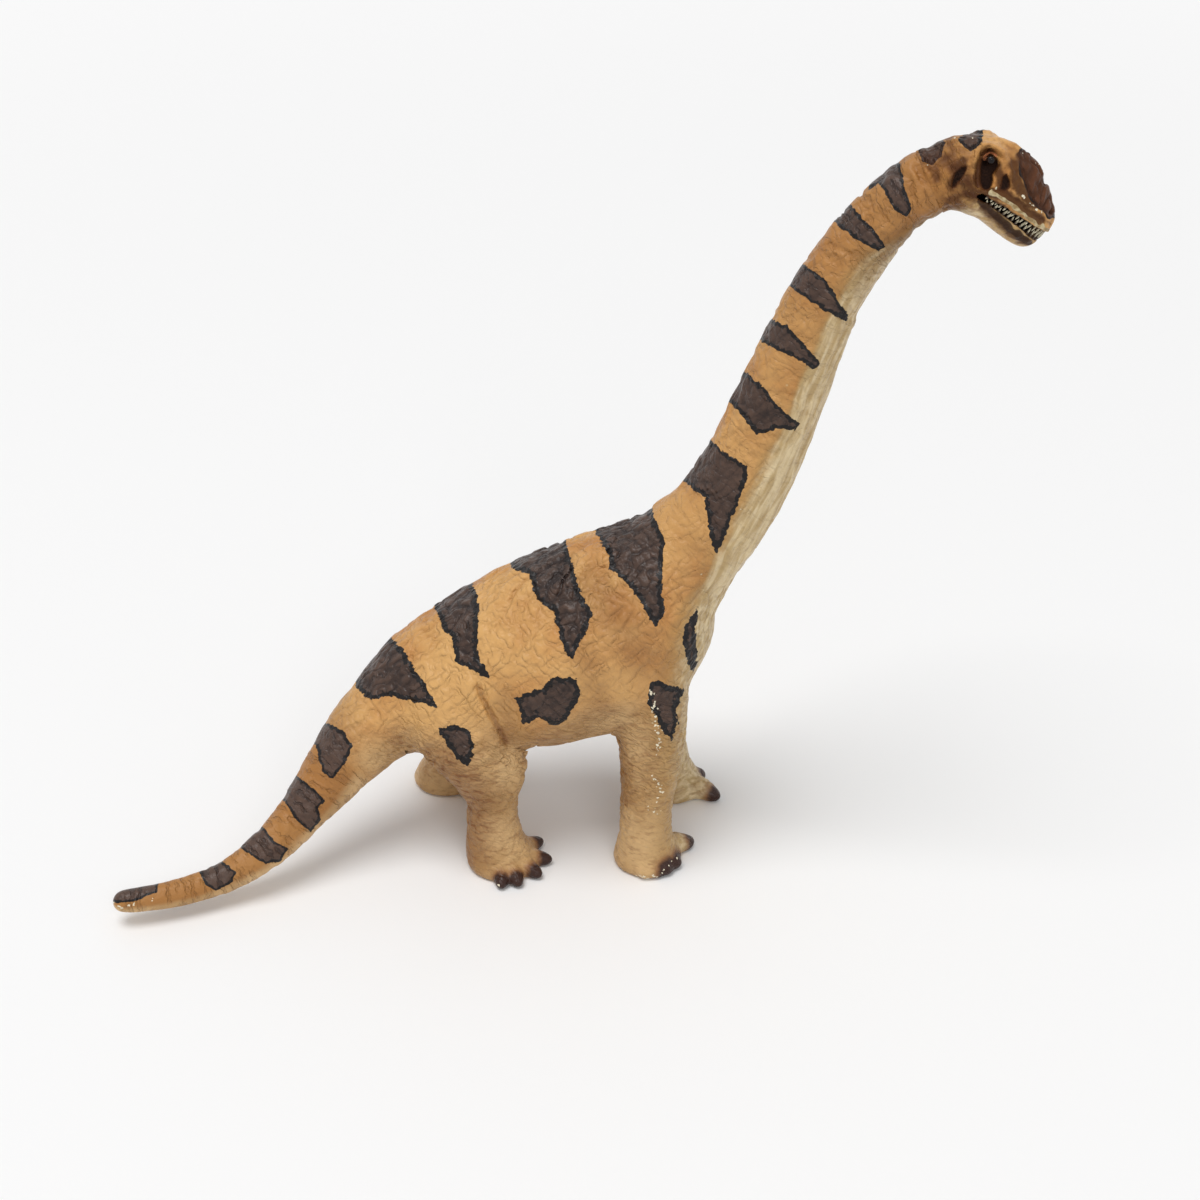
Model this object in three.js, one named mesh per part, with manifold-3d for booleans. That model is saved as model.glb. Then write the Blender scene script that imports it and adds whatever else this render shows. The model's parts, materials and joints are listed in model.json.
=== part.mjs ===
// Toy dinosaur figure: a long-necked plant eater standing on four legs, moulded in soft plastic.
// Millimetres. +X points to the head, +Y to the figure's left side, +Z up. The floor is Z = 0.
// The body is one line of sections from the tail tip to the neck, cut at three seams. Each leg is
// a stack of sections cut at its seam. Every piece plugs into its neighbour with a round plug.

import * as THREE from 'three';
import { mergeVertices } from 'three/addons/utils/BufferGeometryUtils.js';
import Module from 'manifold-3d';

const wasm = await Module();
wasm.setup();

// Driving sizes of the body line
const trunkLength = 65;
const trunkRootHeight = 30.9;
const trunkClimb = 36.9;
const trunkHalfHeight = 22.1;
const trunkHalfWidth = 21;
const tailReach = 54;
const tailSway = 31.5;
const tailDrop = 25.4;
const tailRootSway = 5.5;
const tailRootSetback = 14.4;
const tailRootRadius = 9.3;
const neckReach = 51.5;
const neckRise = 82.9;
const neckRootRadius = 13;

// Driving sizes of the head
const headLength = 19.5;
const crownHeight = 11.5;
const jawDepth = 7.2;
const headHalfWidth = 6.8;
const hingeAheadOfNeckEnd = 1.8;
const hingeBelowNeckEnd = 1.7;
const mouthRootSetback = 1.5;
const mouthRootRise = 1.55;
const mouthCornerInset = 2.2;
const mouthReach = 24;
const browLength = 3.2;
const browThickness = 1.1;
const orbitLength = 2.1;
const orbitHeight = 2.8;
const orbitDepth = 1.5;
const eyeRadius = 0.95;
const eyeStemRadius = 0.5;
const eyeStemLength = 1.9;

// Driving sizes of the legs and feet
const hindHipHeight = 51;
const hindHipSetback = 33;
const hindHipSpread = 13.3;
const hindThighHalfLength = 11.3;
const hindThighHalfWidth = 8.4;
const foreHipHeight = 61;
const foreHipAdvance = 11;
const foreHipSpread = 13;
const foreUpperHalfLength = 8;
const foreUpperHalfWidth = 7.5;
const hindToeLength = 6.8;
const foreToeLength = 4.4;
const toeRadius = 2;
const toeBaseHeight = 2.6;
const thumbLength = 8.3;
const thumbRadius = 2.8;
const thumbBaseHeight = 3.6;

// Sizes of the seams, plugs and sockets
const fitGap = 0.3;
const tailPlugRadius = 5;
const tailPlugLength = 8;
const neckPlugRadius = 6;
const neckPlugLength = 9;
const headPlugRadius = 3.2;
const headPlugLength = 5;
const legPlugRadius = 3.6;
const legPlugLength = 6;
const jawPegRadius = 1.1;
const jawPegLength = 3.4;
const hindSeamHeight = 21.5;
const foreSeamHeight = 29.5;
const legSeamInset = 6;

// One overrun serves all cuts: every cutting block is larger than the figure by it.
const cutReach = 300;

// Angles, in degrees
const headPitch = -25;
const mouthRoofAngle = 6;
const mouthAngle = 8;
const legSeamTilt = 41;
const hindToeAngles = [-92, -70, -38, -4, 38];
const foreToeAngles = [-102, -84, -60, -30];
const foreThumbAngle = 28;
const toeDroop = -14;
const thumbDroop = -22;

// Facets: points round a section, and sections between two rows of a table
const bodySides = 20;
const bodySteps = 2;
const legSides = 16;
const legSteps = 1;
const headSides = 18;
const headSteps = 1;
const plugSides = 14;
const toeSides = 8;

// Shares by which a section is drawn in towards its top
const bodyPinchShare = 0.08;
const headPinchShare = 0.16;
const legPinchShare = 0;

// Body line from the tail's root to the foot of the neck: along and climb of the centre as shares
// of the trunk's length and climb, sway as a share of the tail root's sway, lean of the section in
// degrees, half height and half width as shares of the trunk's
const trunkShare = [
  [0.000, 0.000, 1.00, 24.9, 0.452, 0.460],
  [0.100, 0.117, 0.45, 16.5, 0.604, 0.600],
  [0.215, 0.200, 0.15, 10.7, 0.719, 0.735],
  [0.338, 0.288, 0.00, 6.7, 0.828, 0.860],
  [0.468, 0.366, 0.00, 5.6, 0.928, 0.952],
  [0.602, 0.431, 0.00, 5.9, 0.994, 1.000],
  [0.733, 0.518, 0.00, 7.1, 1.000, 0.990],
  [0.837, 0.597, 0.00, 10.6, 0.986, 0.930],
  [0.937, 0.733, 0.00, 20.3, 0.865, 0.820],
  [0.984, 0.868, 0.00, 28.6, 0.722, 0.700],
  [1.002, 0.996, 0.00, 33.0, 0.606, 0.600],
];

// Neck after its foot: along and rise as shares of the neck's reach and rise, lean in degrees,
// half height and half width as shares of its root radius
const neckShare = [
  [0.080, 0.077, 46.0, 0.870, 0.845],
  [0.157, 0.142, 56.2, 0.815, 0.792],
  [0.254, 0.265, 66.5, 0.770, 0.738],
  [0.326, 0.388, 69.8, 0.730, 0.700],
  [0.394, 0.507, 70.4, 0.690, 0.660],
  [0.460, 0.625, 68.2, 0.630, 0.605],
  [0.542, 0.738, 62.0, 0.572, 0.550],
  [0.643, 0.842, 55.0, 0.540, 0.520],
  [0.751, 0.926, 45.0, 0.510, 0.490],
  [0.866, 0.981, 27.0, 0.520, 0.490],
  [0.960, 0.995, 6.0, 0.460, 0.430],
  [1.020, 0.985, -10.0, 0.200, 0.200],
];

// Tail before the trunk, from its tip: reach, sway and drop as shares of the tail's, lean in
// degrees, and radius as a share of its root radius
const tailShare = [
  [1.000, 1.000, 0.988, -4, 0.080],
  [0.990, 0.994, 0.988, -4, 0.180],
  [0.972, 0.985, 0.988, -4, 0.250],
  [0.937, 0.968, 0.992, -4, 0.282],
  [0.866, 0.935, 1.000, -2, 0.301],
  [0.745, 0.865, 1.000, 4, 0.333],
  [0.605, 0.756, 0.972, 14, 0.376],
  [0.470, 0.630, 0.868, 24, 0.462],
  [0.352, 0.484, 0.700, 34, 0.540],
  [0.243, 0.318, 0.490, 38, 0.670],
  [0.143, 0.175, 0.262, 36, 0.850],
  [0.062, 0.072, 0.100, 30, 0.990],
];

// Head from the neck to the snout: along as a share of the head's length, crown above and jaw
// below the skull line as shares of their own sizes, and half width as a share of the head's
const headShare = [
  [-0.45, 0.45, 0.55, 0.55],
  [-0.36, 0.62, 0.80, 0.84],
  [-0.20, 0.80, 0.87, 0.96],
  [-0.05, 0.91, 0.81, 1.00],
  [0.10, 0.98, 0.72, 0.99],
  [0.28, 1.00, 0.66, 0.93],
  [0.46, 0.95, 0.78, 0.84],
  [0.62, 0.82, 0.88, 0.76],
  [0.77, 0.62, 0.91, 0.70],
  [0.87, 0.43, 0.84, 0.62],
  [0.95, 0.30, 0.60, 0.48],
  [1.00, 0.19, 0.20, 0.26],
];

// Hind leg from the sole up: height as a share of the hip's, shift ahead of the hip and spread of
// the centre as shares of the hip's setback and spread, half length and half width as shares of
// the thigh's
const hindLegShare = [
  [0.000, 0.370, 1.15, 0.680, 0.920],
  [0.030, 0.358, 1.15, 0.710, 0.940],
  [0.080, 0.335, 1.13, 0.660, 0.850],
  [0.140, 0.308, 1.12, 0.565, 0.750],
  [0.235, 0.298, 1.09, 0.525, 0.705],
  [0.315, 0.302, 1.06, 0.525, 0.715],
  [0.375, 0.275, 1.03, 0.640, 0.810],
  [0.435, 0.243, 1.00, 0.800, 0.905],
  [0.510, 0.182, 0.96, 0.945, 0.985],
  [0.600, 0.125, 0.90, 1.000, 1.000],
  [0.700, 0.080, 0.83, 0.950, 0.980],
  [0.820, 0.050, 0.73, 0.840, 0.900],
  [0.920, 0.040, 0.62, 0.640, 0.740],
  [0.985, 0.040, 0.50, 0.330, 0.400],
];

// Fore leg in the same way, its shift a share of the shoulder's advance
const foreLegShare = [
  [0.000, -0.055, 1.10, 0.925, 0.960],
  [0.025, -0.065, 1.10, 0.960, 0.980],
  [0.065, -0.085, 1.10, 0.870, 0.900],
  [0.125, -0.105, 1.11, 0.755, 0.820],
  [0.195, -0.110, 1.10, 0.750, 0.810],
  [0.262, -0.095, 1.09, 0.785, 0.825],
  [0.375, -0.035, 1.05, 0.870, 0.880],
  [0.490, 0.000, 1.01, 0.950, 0.945],
  [0.590, 0.010, 0.96, 0.990, 0.990],
  [0.700, 0.000, 0.88, 1.000, 1.000],
  [0.810, -0.030, 0.78, 0.950, 0.950],
  [0.910, -0.060, 0.66, 0.740, 0.800],
  [0.985, -0.060, 0.52, 0.330, 0.420],
];

// Legs step apart: each foot's swing ahead of its hip and its straddle, as shares of the hip's height
const hindRightSwingShare = 0;
const hindLeftSwingShare = -0.285;
const hindLeftStraddleShare = 0.025;
const foreRightSwingShare = 0;
const foreLeftSwingShare = 0.108;
const foreLeftStraddleShare = -0.022;

// Toes: distance of their roots from the foot's centre as a share of the sole's half length
const toeRootShare = 0.52;
const toeProfileShare = [
  [0.00, 0.02],
  [0.72, 0.06],
  [1.00, 0.34],
  [0.84, 0.64],
  [0.55, 0.88],
  [0.00, 1.00],
];

// Plugs taper a little and have a rounded end
const plugTipShare = 0.86;
const plugRoundShare = 0.8;
const plugRootShare = 0.35;

// Places on the head, as shares of the head's length, crown height and half width
const eyeShare = [0.045, 0.65, 0.71];
const browShare = [0.045, 0.80, 0.56];
const orbitShare = [0.07, 0.46, 0.90];
const jawPegShare = 0.13;
const tongueShare = 0.45;
const tongueEndShare = 0.78;

const degrees = Math.PI / 180;
const up = new THREE.Vector3(0, 0, 1);

// A closed geometry as a solid that can be joined and cut
function solidOf(geometry) {
  geometry.deleteAttribute('normal');
  geometry.deleteAttribute('uv');
  const welded = mergeVertices(geometry);
  return new wasm.Manifold(new wasm.Mesh({
    numProp: 3,
    vertProperties: welded.attributes.position.array,
    triVerts: new Uint32Array(welded.index.array),
  }));
}

function joined(solids) {
  return solids.reduce((whole, solid) => whole.add(solid));
}

// One ring of points round a centre. side and rise are the section's two directions.
function sectionRing(centre, side, rise, halfWidth, halfHeight, pinchShare, sides) {
  return Array.from({ length: sides }, (_, index) => {
    const angle = (index / sides) * 2 * Math.PI;
    const drawnIn = 1 - pinchShare * Math.sin(angle);
    return centre.clone()
      .addScaledVector(side, halfWidth * drawnIn * Math.cos(angle))
      .addScaledVector(rise, halfHeight * Math.sin(angle));
  });
}

// A skin over rings, closed at both ends by a fan about each end ring's centre
function skinOver(rings) {
  const sides = rings[0].length;
  const points = rings.flat();
  const firstCentre = points.length;
  const lastRing = sides * (rings.length - 1);
  for (const ring of [rings[0], rings[rings.length - 1]]) {
    const centre = new THREE.Vector3();
    ring.forEach((point) => centre.add(point));
    points.push(centre.divideScalar(sides));
  }
  const faces = [];
  for (let point = 0; point < sides; point += 1) {
    const next = (point + 1) % sides;
    for (let base = 0; base < lastRing; base += sides) {
      faces.push(base + point, base + sides + point, base + sides + next);
      faces.push(base + point, base + sides + next, base + next);
    }
    faces.push(firstCentre, point, next);
    faces.push(firstCentre + 1, lastRing + next, lastRing + point);
  }
  const geometry = new THREE.BufferGeometry().setFromPoints(points);
  geometry.setIndex(faces);
  return geometry;
}

// Rows of numbers as one smooth run, with as many steps between two rows
function smoothRows(rows, steps) {
  const count = (rows.length - 1) * steps;
  const width = rows[0].length;
  const curves = [];
  for (let column = 0; column < width; column += 3) {
    const points = rows.map((row) => (
      new THREE.Vector3(row[column], row[column + 1] ?? 0, row[column + 2] ?? 0)
    ));
    curves.push(new THREE.CatmullRomCurve3(points, false, 'catmullrom', 0.5));
  }
  return Array.from({ length: count + 1 }, (_, index) => (
    curves.flatMap((curve) => curve.getPoint(index / count).toArray()).slice(0, width)
  ));
}

// Directions of a section that leans back by lean, on a line that heads along heading
function sectionFrame(heading, lean) {
  const level = new THREE.Vector3(heading.x, heading.y, 0).normalize();
  const forward = level.clone().multiplyScalar(Math.cos(lean)).addScaledVector(up, Math.sin(lean));
  const rise = level.clone().multiplyScalar(-Math.sin(lean)).addScaledVector(up, Math.cos(lean));
  const side = new THREE.Vector3().crossVectors(forward, rise);
  return { forward, rise, side };
}

// Body line: each row is x, y, z, lean, half height and half width
const trunkRearX = -hindHipSetback - tailRootSetback;
const trunkRows = trunkShare.map(([along, climb, sway, lean, height, width]) => [
  trunkRearX + along * trunkLength, -sway * tailRootSway, trunkRootHeight + climb * trunkClimb,
  lean * degrees, height * trunkHalfHeight, width * trunkHalfWidth,
]);
const [tailRootX, tailRootY, tailRootZ] = trunkRows[0];
const [neckRootX, , neckRootZ] = trunkRows[trunkRows.length - 1];
const tailRows = tailShare.map(([reach, sway, drop, lean, radius]) => [
  tailRootX - reach * tailReach, tailRootY - sway * tailSway, tailRootZ - drop * tailDrop,
  lean * degrees, radius * tailRootRadius, radius * tailRootRadius,
]);
const neckRows = neckShare.map(([along, rise, lean, height, width]) => [
  neckRootX + along * neckReach, 0, neckRootZ + rise * neckRise,
  lean * degrees, height * neckRootRadius, width * neckRootRadius,
]);
const bodyRows = [...tailRows, ...trunkRows, ...neckRows];

function bodySolid(grow) {
  const stations = smoothRows(bodyRows, bodySteps);
  const centres = stations.map(([x, y, z]) => new THREE.Vector3(x, y, z));
  const rings = stations.map(([, , , lean, halfHeight, halfWidth], index) => {
    const ahead = centres[Math.min(index + 1, centres.length - 1)];
    const behind = centres[Math.max(index - 1, 0)];
    const { side, rise } = sectionFrame(ahead.clone().sub(behind), lean);
    return sectionRing(centres[index], side, rise, halfWidth + grow, halfHeight + grow,
      bodyPinchShare, bodySides);
  });
  return solidOf(skinOver(rings));
}

// The seam at a row of the body line: its centre and the direction towards the head
function bodySeam(row) {
  const [x, y, z, lean] = bodyRows[row];
  const [xNext, yNext, zNext] = bodyRows[row + 1];
  const [xLast, yLast, zLast] = bodyRows[row - 1];
  const heading = new THREE.Vector3(xNext - xLast, yNext - yLast, zNext - zLast);
  return { centre: new THREE.Vector3(x, y, z), normal: sectionFrame(heading, lean).forward };
}

// All that lies on the normal's side of a seam, further than start beyond it
function beyond({ centre, normal }, start) {
  const block = new THREE.BoxGeometry(2 * cutReach, 2 * cutReach, cutReach);
  block.translate(0, 0, cutReach / 2 + start);
  block.applyQuaternion(new THREE.Quaternion().setFromUnitVectors(up, normal));
  block.translate(centre.x, centre.y, centre.z);
  return solidOf(block);
}

function reversed({ centre, normal }) {
  return { centre, normal: normal.clone().negate() };
}

// A tapered round plug. It stands on a seam, is rooted behind it, and reaches along the normal.
function plug({ centre, normal }, radius, length, grow) {
  const outer = radius + grow;
  const reach = length + grow;
  const root = -plugRootShare * length;
  const tip = outer * plugTipShare;
  const profile = [
    [0, root], [outer, root], [outer, 0],
    [tip, reach * plugRoundShare], [tip * plugRoundShare, reach], [0, reach],
  ].map(([x, y]) => new THREE.Vector2(x, y));
  const body = new THREE.LatheGeometry(profile, plugSides);
  body.rotateX(Math.PI / 2);
  body.applyQuaternion(new THREE.Quaternion().setFromUnitVectors(up, normal));
  body.translate(centre.x, centre.y, centre.z);
  return solidOf(body);
}

// Head frame: along the skull line to the snout, and square to it towards the crown
const [neckEndX, , neckEndZ] = neckRows[neckRows.length - 2];
const hinge = new THREE.Vector3(neckEndX + hingeAheadOfNeckEnd, 0, neckEndZ - hingeBelowNeckEnd);
const skullLine = new THREE.Vector3(Math.cos(headPitch * degrees), 0, Math.sin(headPitch * degrees));
const crownLine = new THREE.Vector3(-skullLine.z, 0, skullLine.x);
const leftward = new THREE.Vector3(0, 1, 0);

function headPoint(along, rise, side) {
  return hinge.clone()
    .addScaledVector(skullLine, along)
    .addScaledVector(crownLine, rise)
    .addScaledVector(leftward, side);
}

function intoHeadFrame(geometry) {
  const turn = new THREE.Matrix4().makeBasis(skullLine, leftward, crownLine);
  return geometry.applyMatrix4(turn.setPosition(hinge));
}

function headSolid() {
  const rows = smoothRows(headShare, headSteps);
  const rings = rows.map(([along, crown, jaw, width]) => {
    const top = crown * crownHeight;
    const bottom = -jaw * jawDepth;
    const centre = headPoint(along * headLength, (top + bottom) / 2, 0);
    return sectionRing(centre, leftward.clone().negate(), crownLine, width * headHalfWidth,
      (top - bottom) / 2, headPinchShare, headSides);
  });
  return solidOf(skinOver(rings));
}

// A slab of the head between outline points (along, rise), as thick as twice halfThickness
function headPrism(outline, halfThickness) {
  const shape = new THREE.Shape(outline.map(([along, rise]) => new THREE.Vector2(along, rise)));
  const slab = new THREE.ExtrudeGeometry(shape, { depth: 2 * halfThickness, bevelEnabled: false });
  slab.translate(0, 0, -halfThickness);
  slab.rotateX(Math.PI / 2);
  return solidOf(intoHeadFrame(slab));
}

function headEllipsoid([along, crown, width], mirror, halfLength, halfHeight, halfThickness) {
  const ball = new THREE.IcosahedronGeometry(1, 1);
  ball.scale(halfLength, halfThickness, halfHeight);
  ball.translate(along * headLength, mirror * width * headHalfWidth, crown * crownHeight);
  return solidOf(intoHeadFrame(ball));
}

// The mouth's sides spread from one root: how far each rises at a place along the skull line
function mouthSide(angle) {
  return (along) => mouthRootRise - (along + mouthRootSetback) * Math.tan(angle * degrees);
}
const roofAt = mouthSide(mouthRoofAngle);
const floorAt = mouthSide(mouthRoofAngle + mouthAngle);

// The space of the lower jaw: below the mouth's floor, with a tongue that fills its middle
function jawSpace(grow) {
  const lower = headPrism([
    [-grow, grow + floorAt(-grow)], [mouthReach, grow + floorAt(mouthReach)],
    [mouthReach, -mouthReach], [-grow, -mouthReach],
  ], mouthReach);
  const tongueEnd = tongueEndShare * headLength + grow;
  const tongue = headPrism([
    [-grow, roofAt(-grow) + grow - fitGap], [tongueEnd, roofAt(tongueEnd) + grow - fitGap],
    [tongueEnd, -mouthReach], [-grow, -mouthReach],
  ], tongueShare * headHalfWidth + grow);
  return lower.add(tongue);
}

function mouthSpace() {
  return headPrism([
    [mouthCornerInset, roofAt(mouthCornerInset)], [mouthReach, roofAt(mouthReach)],
    [mouthReach, floorAt(mouthReach)], [mouthCornerInset, floorAt(mouthCornerInset)],
  ], mouthReach);
}

// Leg: a stack of level sections from the sole to the hip, on one side of the body
function legSections(shares, leg) {
  return smoothRows(shares, legSteps).map(([height, ahead, spread, halfLength, halfWidth]) => ({
    centre: new THREE.Vector3(
      leg.hipX + ahead * leg.shiftSize + leg.swing * (1 - height) ** 2,
      leg.sideSign * (spread * leg.spread + leg.straddle * (1 - height) ** 2),
      height * leg.hipHeight,
    ),
    halfLength: halfLength * leg.halfLength,
    halfWidth: halfWidth * leg.halfWidth,
  }));
}

function legSolid(shares, leg) {
  const ahead = new THREE.Vector3(1, 0, 0);
  const rings = legSections(shares, leg).map(({ centre, halfLength, halfWidth }) => (
    sectionRing(centre, leftward, ahead, halfWidth, halfLength, legPinchShare, legSides)
  ));
  return solidOf(skinOver(rings));
}

function toeSolid(leg, sole, [angle, length, radius, baseHeight, droop]) {
  const outline = toeProfileShare.map(([width, along]) => (
    new THREE.Vector2(width * radius, along * length)
  ));
  const toe = new THREE.LatheGeometry(outline, toeSides);
  toe.rotateZ(-Math.PI / 2);
  toe.rotateY(-droop * degrees);
  toe.translate(toeRootShare * sole.halfLength, 0, baseHeight);
  toe.rotateZ(-leg.sideSign * angle * degrees);
  toe.translate(sole.centre.x, sole.centre.y, 0);
  return solidOf(toe);
}

// The oblique seam of a leg: it rises outwards, just clear of the belly
function legSeam(shares, leg) {
  const tilt = legSeamTilt * degrees;
  const normal = new THREE.Vector3(0, -leg.sideSign * Math.sin(tilt), Math.cos(tilt));
  const heightAt = (y) => leg.seamHeight + (Math.abs(y) - legSeamInset) * Math.tan(tilt);
  const nearest = legSections(shares, leg).reduce((best, section) => {
    const miss = Math.abs(section.centre.z - heightAt(section.centre.y));
    return miss < best.miss ? { miss, centre: section.centre } : best;
  }, { miss: Infinity });
  const { x, y } = nearest.centre;
  return { centre: new THREE.Vector3(x, y, heightAt(y)), normal };
}

// Materials: paint and plastic colours of each group of pieces
const skin = { color: 0xcb9459, roughness: 0.5, metalness: 0 };
const legSkin = { color: 0xc9a877, roughness: 0.55, metalness: 0 };
const throatSkin = { color: 0xcdb68c, roughness: 0.5, metalness: 0 };
const beadGloss = { color: 0x0b0908, roughness: 0.12, metalness: 0 };

function pieceMesh(name, solid, look) {
  const { vertProperties, triVerts } = solid.getMesh();
  const geometry = new THREE.BufferGeometry();
  geometry.setAttribute('position', new THREE.BufferAttribute(vertProperties, 3));
  geometry.setIndex(new THREE.BufferAttribute(triVerts, 1));
  geometry.computeVertexNormals();
  const mesh = new THREE.Mesh(geometry, new THREE.MeshStandardMaterial(look));
  mesh.name = name;
  return mesh;
}

const figure = new THREE.Group();
const body = bodySolid(0);
const bodyWithGap = bodySolid(fitGap);
const aboveFloor = beyond({ centre: new THREE.Vector3(), normal: up }, 0);

const tailSeam = bodySeam(tailRows.length);
const neckSeam = bodySeam(tailRows.length + trunkRows.length - 1);
const headSeam = bodySeam(bodyRows.length - 3);

// Tail
const tail = body.intersect(beyond(reversed(tailSeam), 0))
  .add(plug(tailSeam, tailPlugRadius, tailPlugLength, 0));
figure.add(pieceMesh('tail', tail, skin));

// Neck, plugged into the chest, and bored for the head's plug
const neck = body.intersect(beyond(neckSeam, fitGap))
  .intersect(beyond(reversed(headSeam), 0))
  .add(plug(reversed(neckSeam), neckPlugRadius, neckPlugLength, 0))
  .subtract(plug(reversed(headSeam), headPlugRadius, headPlugLength, fitGap));
figure.add(pieceMesh('neck', neck, skin));

// Legs and their roots on the torso
const hindSize = {
  hipX: -hindHipSetback, shiftSize: hindHipSetback, hipHeight: hindHipHeight, spread: hindHipSpread,
  halfLength: hindThighHalfLength, halfWidth: hindThighHalfWidth, seamHeight: hindSeamHeight,
  toes: hindToeAngles.map((angle) => [angle, hindToeLength, toeRadius, toeBaseHeight, toeDroop]),
};
const foreSize = {
  hipX: foreHipAdvance, shiftSize: foreHipAdvance, hipHeight: foreHipHeight, spread: foreHipSpread,
  halfLength: foreUpperHalfLength, halfWidth: foreUpperHalfWidth, seamHeight: foreSeamHeight,
  toes: [
    ...foreToeAngles.map((angle) => [angle, foreToeLength, toeRadius, toeBaseHeight, toeDroop]),
    [foreThumbAngle, thumbLength, thumbRadius, thumbBaseHeight, thumbDroop],
  ],
};
const legs = [
  ['hind_leg_right', hindLegShare, hindSize, -1, hindRightSwingShare, 0],
  ['hind_leg_left', hindLegShare, hindSize, 1, hindLeftSwingShare, hindLeftStraddleShare],
  ['fore_leg_right', foreLegShare, foreSize, -1, foreRightSwingShare, 0],
  ['fore_leg_left', foreLegShare, foreSize, 1, foreLeftSwingShare, foreLeftStraddleShare],
];
const legRoots = [];
const legSockets = [];
for (const [name, shares, size, sideSign, swingShare, straddleShare] of legs) {
  const leg = {
    ...size, sideSign, swing: swingShare * size.hipHeight, straddle: straddleShare * size.hipHeight,
  };
  const seam = legSeam(shares, leg);
  const sole = legSections(shares, leg)[0];
  const whole = legSolid(shares, leg);
  const toes = leg.toes.map((toe) => toeSolid(leg, sole, toe));
  const lowerLeg = joined([whole.intersect(beyond(reversed(seam), 0)), ...toes])
    .intersect(aboveFloor)
    .subtract(bodyWithGap)
    .add(plug(seam, legPlugRadius, legPlugLength, 0));
  figure.add(pieceMesh(name, lowerLeg, legSkin));
  legRoots.push(whole.intersect(beyond(seam, fitGap)));
  legSockets.push(plug(seam, legPlugRadius, legPlugLength, fitGap));
}

// Torso, bored for the tail, the neck and the legs
const trunk = body.intersect(beyond(tailSeam, fitGap)).intersect(beyond(reversed(neckSeam), 0));
const torso = joined([trunk, ...legRoots])
  .subtract(joined([
    ...legSockets,
    plug(tailSeam, tailPlugRadius, tailPlugLength, fitGap),
    plug(reversed(neckSeam), neckPlugRadius, neckPlugLength, fitGap),
  ]));
figure.add(pieceMesh('torso', torso, skin));

// Head: skull and upper jaw, with brows, orbits and the sockets for the eyes and the lower jaw
const wholeHead = headSolid().add(body).intersect(beyond(headSeam, fitGap));
const jawPegAlong = jawPegShare * headLength;
const jawPegSeam = { centre: headPoint(jawPegAlong, roofAt(jawPegAlong), 0), normal: crownLine };
const jawPeg = plug(jawPegSeam, jawPegRadius, jawPegLength, 0);
let head = wholeHead;
for (const mirror of [-1, 1]) {
  head = head
    .add(headEllipsoid(browShare, mirror, browLength, browThickness, browThickness))
    .subtract(headEllipsoid(orbitShare, mirror, orbitLength, orbitHeight, orbitDepth));
}
head = head.subtract(jawSpace(fitGap))
  .subtract(mouthSpace())
  .subtract(plug(jawPegSeam, jawPegRadius, jawPegLength, fitGap))
  .add(plug(reversed(headSeam), headPlugRadius, headPlugLength, 0));
const lowerJaw = wholeHead.intersect(jawSpace(0)).add(jawPeg);

// Eyes: a bead on a stem pressed into the skull
for (const [name, mirror] of [['eye_right', -1], ['eye_left', 1]]) {
  const [along, crown, width] = eyeShare;
  const centre = headPoint(along * headLength, crown * crownHeight, mirror * width * headHalfWidth);
  const inward = { centre, normal: leftward.clone().multiplyScalar(-mirror) };
  const ball = (radius) => {
    const sphere = new THREE.IcosahedronGeometry(radius, 1);
    sphere.translate(centre.x, centre.y, centre.z);
    return solidOf(sphere);
  };
  head = head.subtract(ball(eyeRadius + fitGap))
    .subtract(plug(inward, eyeStemRadius, eyeStemLength, fitGap));
  const bead = ball(eyeRadius).add(plug(inward, eyeStemRadius, eyeStemLength, 0));
  figure.add(pieceMesh(name, bead, beadGloss));
}
figure.add(pieceMesh('head', head, skin));
figure.add(pieceMesh('lower_jaw', lowerJaw, throatSkin));

// The origin is under the middle of the figure's outline, on the floor
const outline = new THREE.Box3().setFromObject(figure);
const middle = outline.getCenter(new THREE.Vector3());
figure.position.set(-middle.x, -middle.y, -outline.min.z);

export default figure;
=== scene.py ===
import json
import math

import bmesh
import bpy
import numpy as np
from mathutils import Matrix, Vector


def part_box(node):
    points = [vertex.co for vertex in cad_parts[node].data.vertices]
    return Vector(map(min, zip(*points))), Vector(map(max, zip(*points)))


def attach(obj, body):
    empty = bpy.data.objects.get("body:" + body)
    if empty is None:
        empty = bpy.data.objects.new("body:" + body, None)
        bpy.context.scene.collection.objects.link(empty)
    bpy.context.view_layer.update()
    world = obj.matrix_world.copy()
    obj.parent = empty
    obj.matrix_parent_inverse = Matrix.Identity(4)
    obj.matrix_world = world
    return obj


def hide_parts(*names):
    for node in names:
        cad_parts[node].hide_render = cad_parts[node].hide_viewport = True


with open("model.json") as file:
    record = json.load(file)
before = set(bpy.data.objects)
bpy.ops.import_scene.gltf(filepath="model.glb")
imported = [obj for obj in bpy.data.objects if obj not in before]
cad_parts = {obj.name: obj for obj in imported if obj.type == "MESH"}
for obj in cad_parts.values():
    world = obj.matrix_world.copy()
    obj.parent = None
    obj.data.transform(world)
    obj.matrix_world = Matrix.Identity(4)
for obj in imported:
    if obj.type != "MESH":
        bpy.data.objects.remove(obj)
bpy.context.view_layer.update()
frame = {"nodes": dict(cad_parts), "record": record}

import openvdb
from mathutils import Vector


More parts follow.
